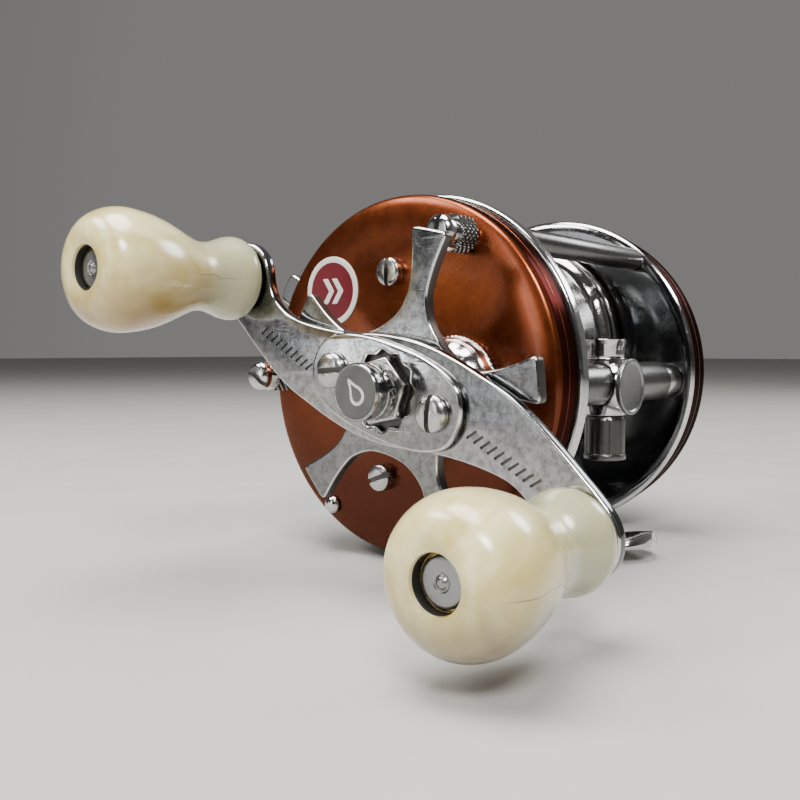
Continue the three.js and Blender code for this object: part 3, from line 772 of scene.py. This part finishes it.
def make_bars():
    (lo, hi), r = ends("front_pillar"), radius_of("front_pillar")
    profile = soften([(lo, 0), (lo, r, 0.1), (hi, r, 0.1), (hi, 0)], 0.1, 2)
    rod = turned("front_rod", profile, middle("front_pillar"), 72)
    # Painted shade: the rod in the darkened steel.
    dress(rod, SATIN_SHADED, "frame", "chrome", "front_pillar")
    lo, hi = ends("thumb_rest")
    rest = [polar(PLATE_R, a, CENTRE) for a in range(136, 167, 2)]
    rest += [polar(PLATE_R - 2.2, a, CENTRE) for a in range(166, 135, -2)]
    bar = plate("rear_bar", [soften(rest, 0.7, 4, True)], lo, hi, 0.08, 2)
    dress(bar, CHROME, "frame", "chrome", "thumb_rest")
    lo, hi = low("foot_crossbar"), high("foot_crossbar")
    outline = soften([(lo.y, lo.z), (hi.y, lo.z), (hi.y, hi.z), (lo.y, hi.z)], 0.8, 5, True)
    bridge = plate("foot_bridge", [outline], lo.x, hi.x, 0.08, 2)
    dress(bridge, CHROME, "frame", "chrome", "foot_crossbar")


# ---------------- foot
def foot_section(y, across, up):
    """Points across the foot at y, on its underside if up is 0, else on its top."""
    widest, longest, straight = high("reel_foot").x, high("reel_foot").y, 22
    t = abs(y)
    taper = max(0.0, (t - straight) / (longest - straight + 0.05))
    half = 0.5 + (widest - 0.5) * math.sqrt(1 - taper**2)
    arch, lift = 1.2 * smooth(t, 10, straight), 2.0 * smooth(t, 16, 30)
    points = []
    for k in range(across + 1):
        s = 2 * k / across - 1
        s = math.copysign(1 - (1 - abs(s)) ** 1.6, s)
        edge = 0.5 * max(0.0, abs(s) - 0.93) / 0.07
        z = lift + arch * (1 - s * s) + (up - edge if up else edge * 0.8)
        points.append((s * half, y, z))
    return points


def make_foot():
    """Tongue that is flat in the middle and arched and raised at both ends."""
    rows, across, thick = 72, 14, 1.35
    top, bottom = [], []
    for i in range(rows + 1):
        y = high("reel_foot").y * (2 * i / rows - 1)
        bottom += foot_section(y, across, 0.0)
        top += foot_section(y, across, thick)
    n, offset = across + 1, len(bottom)
    faces = []
    for i in range(rows):
        for k in range(across):
            a, b = i * n + k, (i + 1) * n + k
            faces.append((a, a + 1, b + 1, b))
            faces.append((offset + a, offset + b, offset + b + 1, offset + a + 1))
        a, b = i * n, (i + 1) * n
        faces.append((a, b, offset + b, offset + a))
        a, b = a + across, b + across
        faces.append((a, offset + a, offset + b, b))
    for k in range(across):
        faces.append((k, offset + k, offset + k + 1, k + 1))
        a = rows * n + k
        faces.append((a, a + 1, offset + a + 1, offset + a))
    foot = finished("foot_tongue", bottom + top, faces, 60)
    face_out(foot)
    dress(foot, CHROME, "frame", "chrome", "reel_foot")


def make_foot_rivets():
    seat = high("foot_crossbar").z + 0.1
    for side in ("front", "rear"):
        node = f"foot_rivet_{side}"
        lo, hi = low(node), high(node)
        profile = [
            (lo.z, 0), (lo.z, 1.0), (seat, 1.0), (seat, 1.9, 0.2), (seat + 0.4, 1.7, 0.3),
            (hi.z, 0.9, 0.5), (hi.z, 0),
        ]
        rivet = upright(f"rivet_{side}", soften(profile, 0.08, 3), (lo.x + hi.x) / 2, (lo.y + hi.y) / 2, 48)
        dress(rivet, STEEL, "frame", "steel", node)


# ---------------- line winder
def make_winder():
    """The tube with a slot below, its end bush, and the worm with two crossing grooves."""
    (wy, wz), bore = WORM, 2.45
    lo, hi = ends("worm_tube")
    profile = soften([(lo, bore), (lo, 3.2, 0.15), (hi, 3.2, 0.15), (hi, bore)], 0.1, 3, True)
    tube = turned("winder_tube", profile, WORM, 72)
    carve(tube, block("slot", (-12.3, 12.3), (wy - 1.25, wy + 1.25), (wz - 6, wz - 1)))
    # Painted shade: the tube in the darkened steel.
    dress(tube, SATIN_SHADED, "frame", "steel", "worm_tube")
    lo, hi = ends("tube_bush")
    profile = soften([(lo, bore), (lo, 3.0, 0.1), (hi, 3.0, 0.25), (hi, bore)], 0.1, 3, True)
    dress(turned("tube_end", profile, WORM, 72), STEEL, "frame", "steel", "tube_bush")
    (lo, hi), r, journal, half, steps = ends("worm_shaft"), 2.0, 1.5, 17.0, 160
    profile = [(lo, 0), (lo, journal), (-half - 0.9, journal), (-half - 0.9, r)]
    profile += [(half * (2 * k / steps - 1), r) for k in range(steps + 1)]
    profile += [(half + 0.9, r), (half + 0.9, journal), (hi, journal), (hi, 0)]
    dress(turned("worm_screw", profile, WORM, 72, worm_groove), STEEL, "worm", "steel", "worm_shaft")


def worm_groove(a, x, r):
    """Two grooves of opposite hand, for turned()."""
    lead, width, depth = 8.0, 0.09, 0.5
    if r < 1.9 or abs(x) > 15:
        return r
    one = abs((a / TAU + x / lead) % 1.0 - 0.5)
    two = abs((a / TAU - x / lead) % 1.0 - 0.5)
    return r - depth * max(0.0, 1 - min(one, two) / width) ** 0.5


def make_carriage():
    """Barrel with a disc in front, the line eye above and the pawl's cup below."""
    wy, wz = WORM
    lo, hi = low("line_carriage"), high("line_carriage")
    x, y, z, front = (lo.x + hi.x) / 2, wy - 0.1, wz - 0.3, hi.y
    profile = [
        (front - 7.4, 0), (front - 7.4, 3.9, 0.4), (front - 6.6, 4.1, 0.4), (front - 1.2, 4.1, 0.4),
        (front - 0.2, 3.7, 0.2), (front - 0.2, 0),
    ]
    barrel = facing_front("carriage_barrel", soften(profile, 0.2, 3), x, z)
    profile = soften([(wz - 4.7, 0), (wz - 4.7, 3.1, 0.2), (wz + 4.1, 3.1, 0.2), (wz + 4.1, 0)], 0.2)
    post = upright("post", profile, x, y)
    bore = turned("bore", [(-10, 0), (-10, 3.35), (20, 3.35), (20, 0)], WORM, 64)
    carve(barrel, bore, join=post, bevel=0.12)
    dress(barrel, CHROME, "carriage", "chrome", "line_carriage")
    profile = [
        (front + 0.05, 0), (front + 0.05, 4.25, 0.15), (front + 0.7, 4.25, 0.15),
        (front + 0.7, 3.8, 0.1), (front + 0.45, 3.6, 0.1), (front + 0.35, 0),
    ]
    disc = facing_front("carriage_disc", soften(profile, 0.1, 3), x, z)
    # Painted shade: the disc in the darkened steel.
    dress(disc, TURNED_SHADED, "carriage", "chrome", "carriage_cap")
    base, top = low("line_guide").z, high("line_guide").z
    profile = [
        (base, 0), (base, 2.85, 0.15), (top - 0.7, 2.9, 0.3), (top, 3.2, 0.12), (top, 2.7, 0.12),
        (base + 0.9, 2.3, 0.3), (base + 0.9, 0),
    ]
    eye = upright("line_eye", soften(profile, 0.1, 3), x, y)
    carve(eye, block("gap", (x - 1.5, x + 1.5), (wy - 6, wy + 6), (base + 0.9, top + 2)), bevel=0.1)
    dress(eye, CHROME, "carriage", "chrome", "line_guide")
    base, top, r = low("pawl_housing").z, high("pawl_housing").z, 3.05
    profile = [
        (base, 0), (base, 2.7, 0.1), (base + 0.1, 3.2, 0.15), (base + 0.8, 3.2, 0.15),
        (base + 1.0, r, 0.1), (top - 0.5, r, 0.1), (top, 2.8, 0.1), (top, 0),
    ]

    def grips(a, q, radius):
        on_side = 3.0 < radius < 3.1 and q > base + 1
        return radius - (0.16 * max(0.0, math.cos(10 * a)) ** 2 if on_side else 0)

    cup = upright("pawl_cup", soften(profile, 0.1, 3), x, y, 120, grips)
    # Painted shade: the pawl's cup in the darkened steel.
    dress(cup, SATIN_SHADED, "carriage", "chrome", "pawl_housing")


# ---------------- spool
def make_spool():
    """Open drum. The profile runs from the bore out over one flange, and is mirrored."""
    side, r = 17.6, 18.8
    half = [
        (side - 0.4, 1.6), (side - 0.4, 4.2, 0.4), (side - 2.7, 5.6, 0.8), (side - 3.2, r - 3.0, 0.8),
        (side - 2.6, r - 1.8, 0.5), (side - 0.3, r - 1.2, 0.3), (side + 0.1, r - 0.4, 0.15),
        (side, r + 0.05, 0.15), (side - 1.25, r, 0.12), (side - 1.55, r - 0.6, 0.1),
        (side - 1.95, r - 0.6, 0.1), (side - 2.25, r, 0.12), (side - 3.1, r, 0.2),
        (side - 3.6, r - 0.4, 0.25), (side - 4.4, r - 1.4, 0.8), (side - 5.6, r - 8.2, 1.0),
        (side - 7.0, r - 9.3, 1.2),
    ]
    other = [(-p[0], *p[1:]) for p in half][::-1]
    drum = turned("spool_drum", soften(half + other, 0.15, 4, True), SPOOL, 144, angle=30)
    dress(drum, CHROME, "spool", "steel", "spool")


# ---------------- screws and small parts
def make_thumbscrews():
    """Knurled heads, each with a neck and a slotted end."""
    x0, r, band, steps = ON_FACE, 2.7, 3.1, 42
    for where, slot in (("top", 80), ("rear", -38), ("bottom", 15)):
        node = f"thumbscrew_{where}"
        at, stem = middle(node), low(node).x
        foot = [(stem, 0), (stem, 1.1), (x0, 1.1), (x0, 2.0, 0.15), (x0 + 0.7, 2.0, 0.1)]
        end = [
            (x0 + 4.15, 1.6), (x0 + 5.3, 1.6, 0.2), (x0 + 5.4, 2.3, 0.15), (x0 + 6.5, 2.3, 0.3),
            (x0 + 7.1, 1.7, 0.3), (x0 + 7.15, 0),
        ]
        profile = soften(foot, 0.05, 2) + [(x0 + 0.75, 2.5)]
        profile += [(x0 + 0.85 + band * k / steps, r) for k in range(steps + 1)]
        profile += [(x0 + 4.1, 2.45)] + soften(end, 0.1, 3)
        screw = turned(f"thumb_screw_{where}", profile, at, 216, knurl(r, x0 + 0.8, x0 + 4.0, 18, 0.36), 70)
        carve(screw, block("slot", (x0 + 6.2, x0 + 9), (-4, 4), (-0.38, 0.38), math.radians(slot), at))
        dress(screw, CHROME, "frame", "chrome", node)
        # Painted shadow in the knurl's grooves and painted shade on the slot's floor.
        paint(screw, RECESS_SHADOW, lambda centre, _: 2.3 < math.dist(centre.yz, at) < 2.59 and centre.x < x0 + 4)
        paint(screw, PAINTED_SHADE, facing_out_at(x0 + 6.2))


def make_screw(node, body, x, r, height, slot, dome):
    """Screw with a slotted head on the face at x. dome is the part of its height that is domed."""
    at, floor = middle(node), x + height - 0.95
    profile = [
        (x - 2.5, 0), (x - 2.5, 0.9), (x, 0.9), (x, r, 0.15), (x + height * (1 - dome), r, 0.25),
        (x + height * (1 - dome * 0.25), r * 0.72, 0.6), (x + height, 0),
    ]
    screw = turned(f"{node}_head", soften(profile, 0.1, 4), at, 72)
    carve(screw, block("slot", (floor, x + 4), (-4, 4), (-0.36, 0.36), math.radians(slot), at), bevel=0.06)
    dress(screw, STEEL, body, "steel", node)
    # Painted shade on the slot's floor.
    paint(screw, PAINTED_SHADE, facing_out_at(floor, 0.1))


def make_plate_screws():
    make_screw("plate_screw_upper", "frame", ON_FACE, 2.15, 1.8, 88, 0.2)
    make_screw("plate_screw_lower", "frame", ON_FACE, 2.05, 1.8, 20, 0.2)
    lo, r, height = low("plate_rivet").x, 1.45, 1.0
    dome = [(ON_FACE + height * math.sin(0.2 * k), r * math.cos(0.2 * k)) for k in range(1, 8)]
    profile = [(lo, 0), (lo, 0.6), (ON_FACE, 0.6), (ON_FACE, r), *dome, (ON_FACE + height, 0)]
    dress(turned("rivet_dome", profile, middle("plate_rivet"), 48), CHROME, "frame", "steel", "plate_rivet")


def make_badge():
    """Red disc in a pale ring, with two plain chevrons."""
    at, r, x, raised = middle("badge"), 5.5, FACE + 0.03, 0.17
    rim = soften([(x, r - 1), (x, r), (x + 0.22, r, 0.1), (x + 0.22, r - 0.95, 0.1)], 0.05, 3, True)
    dress(turned("badge_rim", rim, at, 96), WHITE, "frame", "badge", "badge")
    field = [(x, 0), (x, r - 0.9), (x + raised, r - 0.9), (x + raised, 0)]
    dress(turned("badge_field", field, at, 96), RED, "frame", "badge")
    chevron = [(-0.5, 2.0), (0.6, 2.0), (2.0, 0), (0.6, -2.0), (-0.5, -2.0), (0.9, 0)]
    for i, shift in enumerate((-1.5, 0.5)):
        outline = soften([(at[0] + u + shift, at[1] + v) for u, v in chevron], 0.15, 3, True)
        mark = plate(f"badge_mark_{i + 1}", [outline], x + raised, x + raised + 0.06, 0.02, 1)
        dress(mark, WHITE, "frame", "badge")


def make_boss():
    """Stepped boss around the drive shaft, with fine flutes on its widest step."""
    x, r, bore = ON_FACE, 7.4, 2.6
    profile = [
        (x, bore), (x, r, 0.1), (x + 1.0, r, 0.1), (x + 1.15, r - 0.3, 0.1), (x + 1.3, r - 0.4, 0.1),
        (x + 2.3, r - 0.45, 0.3), (x + 2.5, r - 0.8, 0.1), (x + 2.8, r - 0.9, 0.2),
        (x + 3.8, r - 1.8, 0.6), (x + 4.6, r - 3.0, 0.6), (x + 5.0, r - 4.2, 0.3), (x + 5.05, bore),
    ]
    flutes = fluted(60, 0.16, (x - 1, x + 2), (r - 0.1, r + 0.05))
    boss = turned("drive_boss", soften(profile, 0.1, 4) + [(x, bore)], DRIVE, 240, flutes)
    dress(boss, CHROME, "frame", "chrome", "shaft_boss")


def make_controls():
    """The clutch tab at the rear and the click stud on the far side."""
    (lo, hi), r = ends("clutch_button"), PLATE_R
    half = [(r - 3.1, TAB_HALF), (r + 3.1, TAB_HALF), (r + 3.6, TAB_HALF - 1)]
    tab = [(u, -v) for u, v in half] + [(r + 3.7, 0)] + half[::-1]
    outline = soften([tilted(u, v, CLUTCH_ANGLE, CENTRE) for u, v in tab], 0.6, 4, True)
    dress(plate("clutch_tab", [outline], lo, hi, 0.4, 4), CHROME, "clutch", "chrome", "clutch_button")
    x, r = high("click_button").x, 2.5
    profile = [
        (x, 0), (x, r - 0.5), (x - 0.6, r - 0.5), (x - 0.6, 1.0), (x - 2.85, 1.0), (x - 2.85, r, 0.15),
        (x - 3.9, r, 0.2), (x - 4.2, r - 0.6, 0.2), (x - 4.0, 1.2, 0.3), (x - 3.95, 0),
    ]
    flutes = fluted(24, 0.12, (x - 5, x), (r - 0.1, r + 0.1))
    stud = turned("click_stud", soften(profile, 0.08, 3), CLICK, 90, flutes)
    dress(stud, CHROME, "click", "chrome", "click_button")


# ---------------- star wheel, handle and knobs
STAR_ARM = [  # one side of an arm, from its root to its tip
    (8.0, -4.6), (9.6, -3.0), (11.6, -2.0), (13.5, -1.6), (16.5, -1.85), (19.0, -2.4), (20.5, -2.8),
    (21.05, -2.75), (21.35, -2.3), (21.4, -1.0),
]
BLADE_EDGE = [  # half the edge of the S-shaped arm, from the rear end to the front end
    (-37.3, 0.0), (-36.8, 2.3), (-35.6, 4.1), (-33.8, 5.2), (-31.6, 5.45), (-29.6, 4.9), (-28.0, 3.6),
    (-26.6, 1.9), (-25.0, 0.6), (-23.0, 0.0), (-20.7, -0.05), (-17.0, 0.75), (-13.0, 2.05),
    (-9.3, 3.6), (-4.8, 5.9), (-1.0, 7.35), (2.6, 8.3), (7.3, 8.9), (11.5, 9.1), (16.1, 9.2),
    (20.4, 8.6), (25.0, 7.5), (29.0, 6.4), (31.8, 5.6), (34.0, 4.8), (35.8, 3.6), (36.9, 1.9),
]
KNOB_PROFILE = [  # (distance from the neck, radius)
    (0.0, 4.7), (0.35, 5.3), (1.0, 5.8), (2.0, 6.05), (3.2, 5.9), (4.6, 5.45), (6.2, 5.0), (7.9, 4.85),
    (9.7, 5.1), (11.7, 5.8), (13.7, 6.6), (15.7, 7.3), (17.7, 7.8), (19.7, 8.1), (21.5, 8.18),
    (23.2, 7.9), (24.7, 7.25), (25.7, 6.4), (26.3, 5.3), (26.5, 4.3), (26.45, 3.5),
]


def make_star():
    (lo, hi), bore = ends("star_wheel"), 2.5
    points = []
    for i in range(5):
        a = math.radians(76.8 + 72 * i)
        points += [tilted(u, v, a, DRIVE) for u, v in STAR_ARM]
        points += [tilted(u, -v, a, DRIVE) for u, v in reversed(STAR_ARM)]
    star = plate("star_arms", [spline(points, 4, True), circle(bore, DRIVE, 40)], hi - 1.8, hi, 0.38, 4)
    # Painted light: darker chrome that lightens toward the top, brighter edges and near-black sides.
    dress(star, WORN_STAR_PAINTED_LIGHT, "star", "steel", "star_wheel")
    edge_highlight_side_shade(star, PAINTED_SHADE)
    hub = [
        (lo, bore), (lo, 4.4, 0.2), (lo + 1.0, 4.9, 0.4), (hi - 2.4, 5.4, 0.8), (hi - 1.75, 6.6, 0.2),
        (hi - 1.75, bore),
    ]
    # The hub gets the same painted shade and highlight.
    dress(turned("star_hub", soften(hub, 0.2, 4, True), DRIVE, 96), WORN_STAR_PAINTED_LIGHT, "star", "steel")


def make_blade():
    """S-shaped arm with a row of slanted strokes stamped on either side of its middle."""
    outline = [on_handle(u, v) for u, v in BLADE_EDGE] + [on_handle(-u, -v) for u, v in BLADE_EDGE]
    loops = [spline(outline, 4, True), circle(2.5, DRIVE, 40)]
    blade = plate("handle_arm", loops, BLADE_IN, BLADE_OUT, 0.42, 5)
    blade.modifiers.clear()
    floor, pitch, half_width, half_length = BLADE_OUT - 0.2, 1.15, 0.17, 0.85
    for first, height in ((14.2, 2.3), (-24.2, -4.4)):
        marks = []
        for k in range(10):
            at = on_handle(first + pitch * k, height)
            wide, long = (-half_width, half_width), (-half_length, half_length)
            marks.append(block("mark", (floor, BLADE_OUT + 1), wide, long, HANDLE_ANGLE - 0.5, at))
        carve(blade, *marks)
    dress(blade, WORN, "handle", "steel", "handle_blade")
    # Painted highlight on the edge, and painted shade on the sides and on the floors of the stamped strokes.
    edge_highlight_side_shade(blade)
    paint(blade, PAINTED_SHADE, facing_out_at(floor, 0.01))


def make_cover():
    """Oval plate with a wavy opening around the nut, held by two screws."""
    quarter = [(13.0, 0), (12.6, 2.2), (11.5, 3.9), (9.6, 5.0), (7.0, 5.8), (3.5, 6.3), (0, 6.4)]
    half = quarter + [(-u, v) for u, v in quarter[-2::-1]]
    oval = half + [(-u, -v) for u, v in half[1:-1]]
    edge = spline([tilted(u, v, COVER_ANGLE, DRIVE) for u, v in oval], 6, True)
    opening = spline([polar(4.7 if k % 2 else 5.25, 15 * k, DRIVE) for k in range(24)], 4, True)
    x0, x1 = ends("cover_plate")
    cover = plate("lock_plate", [edge, opening], x0, x1, 0.5, 6)
    # Painted light on the cover: darker low, lighter toward the top, a brighter edge and shaded sides.
    dress(cover, WORN_COVER_PAINTED_LIGHT, "handle", "steel", "cover_plate")
    edge_highlight_side_shade(cover)
    # A thin near-black disc under the opening, as painted shadow.
    recess = [(x0 - 0.04, 0), (x0 - 0.04, 5.4), (x0 + 0.02, 5.4), (x0 + 0.02, 0)]
    dress(turned("painted_shadow_disc", recess, DRIVE, 48), PAINTED_SHADE, "handle", "steel")
    make_screw("cover_screw_front", "handle", x1 + 0.05, 2.4, 1.5, 86, 0.5)
    make_screw("cover_screw_rear", "handle", x1 + 0.05, 2.4, 1.5, 4, 0.5)
    loops = [[polar(4.6, 60 * k + 12, DRIVE) for k in range(6)], circle(2.1, DRIVE, 32)]
    nut = plate("hex_nut", loops, x0 + 0.15, x1 + 1.0, 0.25, 3)
    dress(nut, STEEL, "handle", "steel", "handle_nut")


def make_oil_cap():
    """Cap over the nut, with fine flutes and a groove around it and a drop engraved in its face."""
    (lo, hi), r = ends("oil_cap"), 3.7
    face = hi - 0.06
    profile = [
        (lo, 0), (lo, 1.6), (lo + 0.95, 1.6), (lo + 0.95, r - 0.2, 0.15), (lo + 1.3, r, 0.1),
        (lo + 2.6, r, 0.05), (lo + 2.7, r - 0.15, 0.05), (lo + 2.95, r - 0.15, 0.05),
        (lo + 3.05, r, 0.05), (hi - 0.3, r, 0.2), (hi, r - 0.25, 0.1), (face, r - 0.4, 0.05),
        (face, 0),
    ]
    flutes = fluted(20, 0.06, (lo, lo + 2.6), (r - 0.04, r + 0.1))
    cap = turned("oil_port_cap", soften(profile, 0.08, 4), DRIVE, 192, flutes)
    drop = [(0, 2.1), (0.55, 1.0), (1.05, 0.1), (1.2, -0.6), (1.0, -1.25), (0.5, -1.65), (0, -1.75)]
    drop += [(-u, v) for u, v in drop[-2:0:-1]]
    angle = math.radians(35)
    outer = spline([tilted(u, v, angle, DRIVE) for u, v in drop], 4, True)
    inner = spline([tilted(u * 0.66, v * 0.66 - 0.15, angle, DRIVE) for u, v in drop], 4, True)
    mark = plate("mark", [outer, inner], face - 0.1, hi + 0.5, 0.01, 1)
    mark.modifiers.clear()
    carve(cap, mark)
    dress(cap, WORN, "handle", "chrome", "oil_cap")
    # Painted shade: the cap's end face in the darkened steel.
    paint(cap, SATIN_SHADED, facing_out_at(face))

    def in_the_mark(centre, normal):
        return face - 0.12 < centre.x < face - 0.02 and math.dist(centre.yz, DRIVE) < 2.6

    paint(cap, WHITE, in_the_mark)


def make_knobs():
    """Pearl knobs with a hole whose walls are painted dark as shadow and a brass lining at the outer end, on
    turned spindles.
    """
    length, bore = 26.5, 1.7
    for where, at in KNOBS.items():
        x0, x1 = ends(f"knob_{where}")
        k = (x1 - x0) / length
        outer = [(x0, bore), (x0, 4.4)] + spline([(x0 + x * k, r) for x, r in KNOB_PROFILE], 4)
        inner = [(x1 - 0.25, 2.98), (x1 - 0.6, 2.88), (x1 - 2.4, 2.88), (x1 - 2.4, bore), (x0, bore)]
        knob = turned(f"grip_{where}", outer + inner, at, 128, angle=50)
        dress(knob, PEARLS[where], f"{where}_grip", "knob_plastic", f"knob_{where}")
        # Painted shadow on the hole's walls.
        paint(knob, RECESS_SHADOW, lambda centre, normal: centre.x < x1 - 0.8 and math.dist(centre.yz, at) < 3.1)
        lining = [
            (x1 - 2.36, bore), (x1 - 2.36, 2.85), (x1 - 1.8, 2.85, 0.05), (x1 - 1.8, 2.72, 0.05),
            (x1 - 2.2, 2.72), (x1 - 2.2, bore),
        ]
        liner = turned(f"grip_lining_{where}", soften(lining, 0.04, 2, True), at, 64)
        dress(liner, BRASS, f"{where}_grip", "brass")
        make_spindle(where, at)


def make_spindle(where, at):
    """Riveted end behind the blade, a collar in front of it, and a domed, dimpled outer end."""
    node, r, collar = f"knob_spindle_{where}", 1.4, BLADE_OUT + 0.05
    a, b = ends(node)
    profile = [
        (a, 0), (a, 2.0, 0.2), (a + 0.3, 2.6, 0.15), (a + 0.65, 2.6), (a + 0.65, r), (collar, r),
        (collar, 3.6, 0.1), (collar + 0.4, 3.6, 0.1), (collar + 0.45, r), (b - 1.0, r),
        (b - 1.0, 2.5, 0.1), (b - 0.45, 2.5, 0.15), (b - 0.3, 2.2, 0.2), (b - 0.3, 1.0, 0.1),
        (b - 0.45, 0.75, 0.1), (b - 0.1, 0.45, 0.2), (b, 0),
    ]
    # Painted shade: the spindle in the darkened steel.
    dress(turned(f"grip_spindle_{where}", soften(profile, 0.06, 3), at, 64), TURNED_SHADED, "handle", "steel", node)


# ---------------- CAD nodes that stay
def dress_cad():
    """Gives the CAD nodes that no piece replaces the material of their slot."""
    shaders = {"brass": BRASS, "fibre": FIBRE, "steel": STEEL}
    for part in frame["record"]["subparts"]:
        if part["node"] not in REPLACED:
            materials = frame["nodes"][part["node"]].data.materials
            materials.clear()
            materials.append(shaders[part["material_slot"]].material)


# ---------------- floor and light
def make_stage():
    s = Shader("pale_floor", (0.48, 0.47, 0.45), 0.0, 0.5)
    s.to("Roughness", s.span(s.noise(0.05, 4), 0.3, 0.7, 0.42, 0.58))
    size, z = 3000, -0.1
    corners = [(-size, -size, z), (size, -size, z), (size, size, z), (-size, size, z)]
    floor = finished("floor", corners, [(0, 1, 2, 3)])
    floor.data.materials.append(s.material)


def add_light(name, where, width, height, watts, color=(1, 1, 1)):
    """Oval light aimed at the reel, with its place and size in metres."""
    data = bpy.data.lights.new(name, "AREA")
    data.shape = "ELLIPSE"
    data.size, data.size_y = width, height
    data.energy = watts
    data.color = color
    light = bpy.data.objects.new(name, data)
    light.location = where
    light.rotation_mode = "QUATERNION"
    light.rotation_quaternion = (Vector((0.02, 0.0, 0.03)) - Vector(where)).to_track_quat("-Z", "Y")
    bpy.context.collection.objects.link(light)


def make_lights():
    add_light("overhead", (0.12, -0.04, 0.55), 0.42, 0.34, 5.8, (1, 0.98, 0.95))
    add_light("high_left", (0.34, -0.30, 0.46), 0.28, 0.20, 2.2, (1, 0.98, 0.95))
    add_light("high_right", (0.36, 0.30, 0.40), 0.20, 0.14, 3.4, (1, 0.98, 0.96))
    add_light("side_card", (0.66, -0.24, 0.12), 0.34, 0.24, 0.17)
    add_light("left_card", (0.50, -0.52, 0.12), 0.26, 0.24, 0.045)
    add_light("low_card", (0.52, -0.40, 0.035), 0.09, 0.06, 0.07)
    add_light("strip", (0.66, -0.13, 0.22), 0.09, 0.42, 0.5, (1, 0.97, 0.94))
    add_light("behind", (-0.45, 0.18, 0.34), 0.20, 0.20, 1.5, (0.97, 0.98, 1.0))


def make_world():
    """Surroundings that are brighter behind the reel than on the handle's side."""
    world = bpy.data.worlds.new("studio")
    world.use_nodes = True
    tree = world.node_tree
    direction = add_node(tree, "TexCoord").outputs["Generated"]
    ahead = add_node(tree, "SeparateXYZ", Vector=direction).outputs["X"]
    fade = add_node(tree, "MapRange", Value=ahead, From_Min=-0.55, From_Max=0.35).outputs["Result"]
    tone = add_node(tree, "Mix")
    tone.data_type = "RGBA"
    tree.links.new(fade, tone.inputs["Factor"])
    tone.inputs[6].default_value = (0.20, 0.196, 0.19, 1)
    tone.inputs[7].default_value = (0.045, 0.043, 0.042, 1)
    tree.links.new(tone.outputs[2], tree.nodes["Background"].inputs["Color"])
    bpy.context.scene.world = world


make_near_cup()
make_far_cup()
make_control_cap()
make_rings()
make_bars()
make_foot()
make_foot_rivets()
make_winder()
make_carriage()
make_spool()
make_thumbscrews()
make_plate_screws()
make_badge()
make_boss()
make_controls()
make_star()
make_blade()
make_cover()
make_oil_cap()
make_knobs()
dress_cad()
make_stage()
make_lights()
make_world()
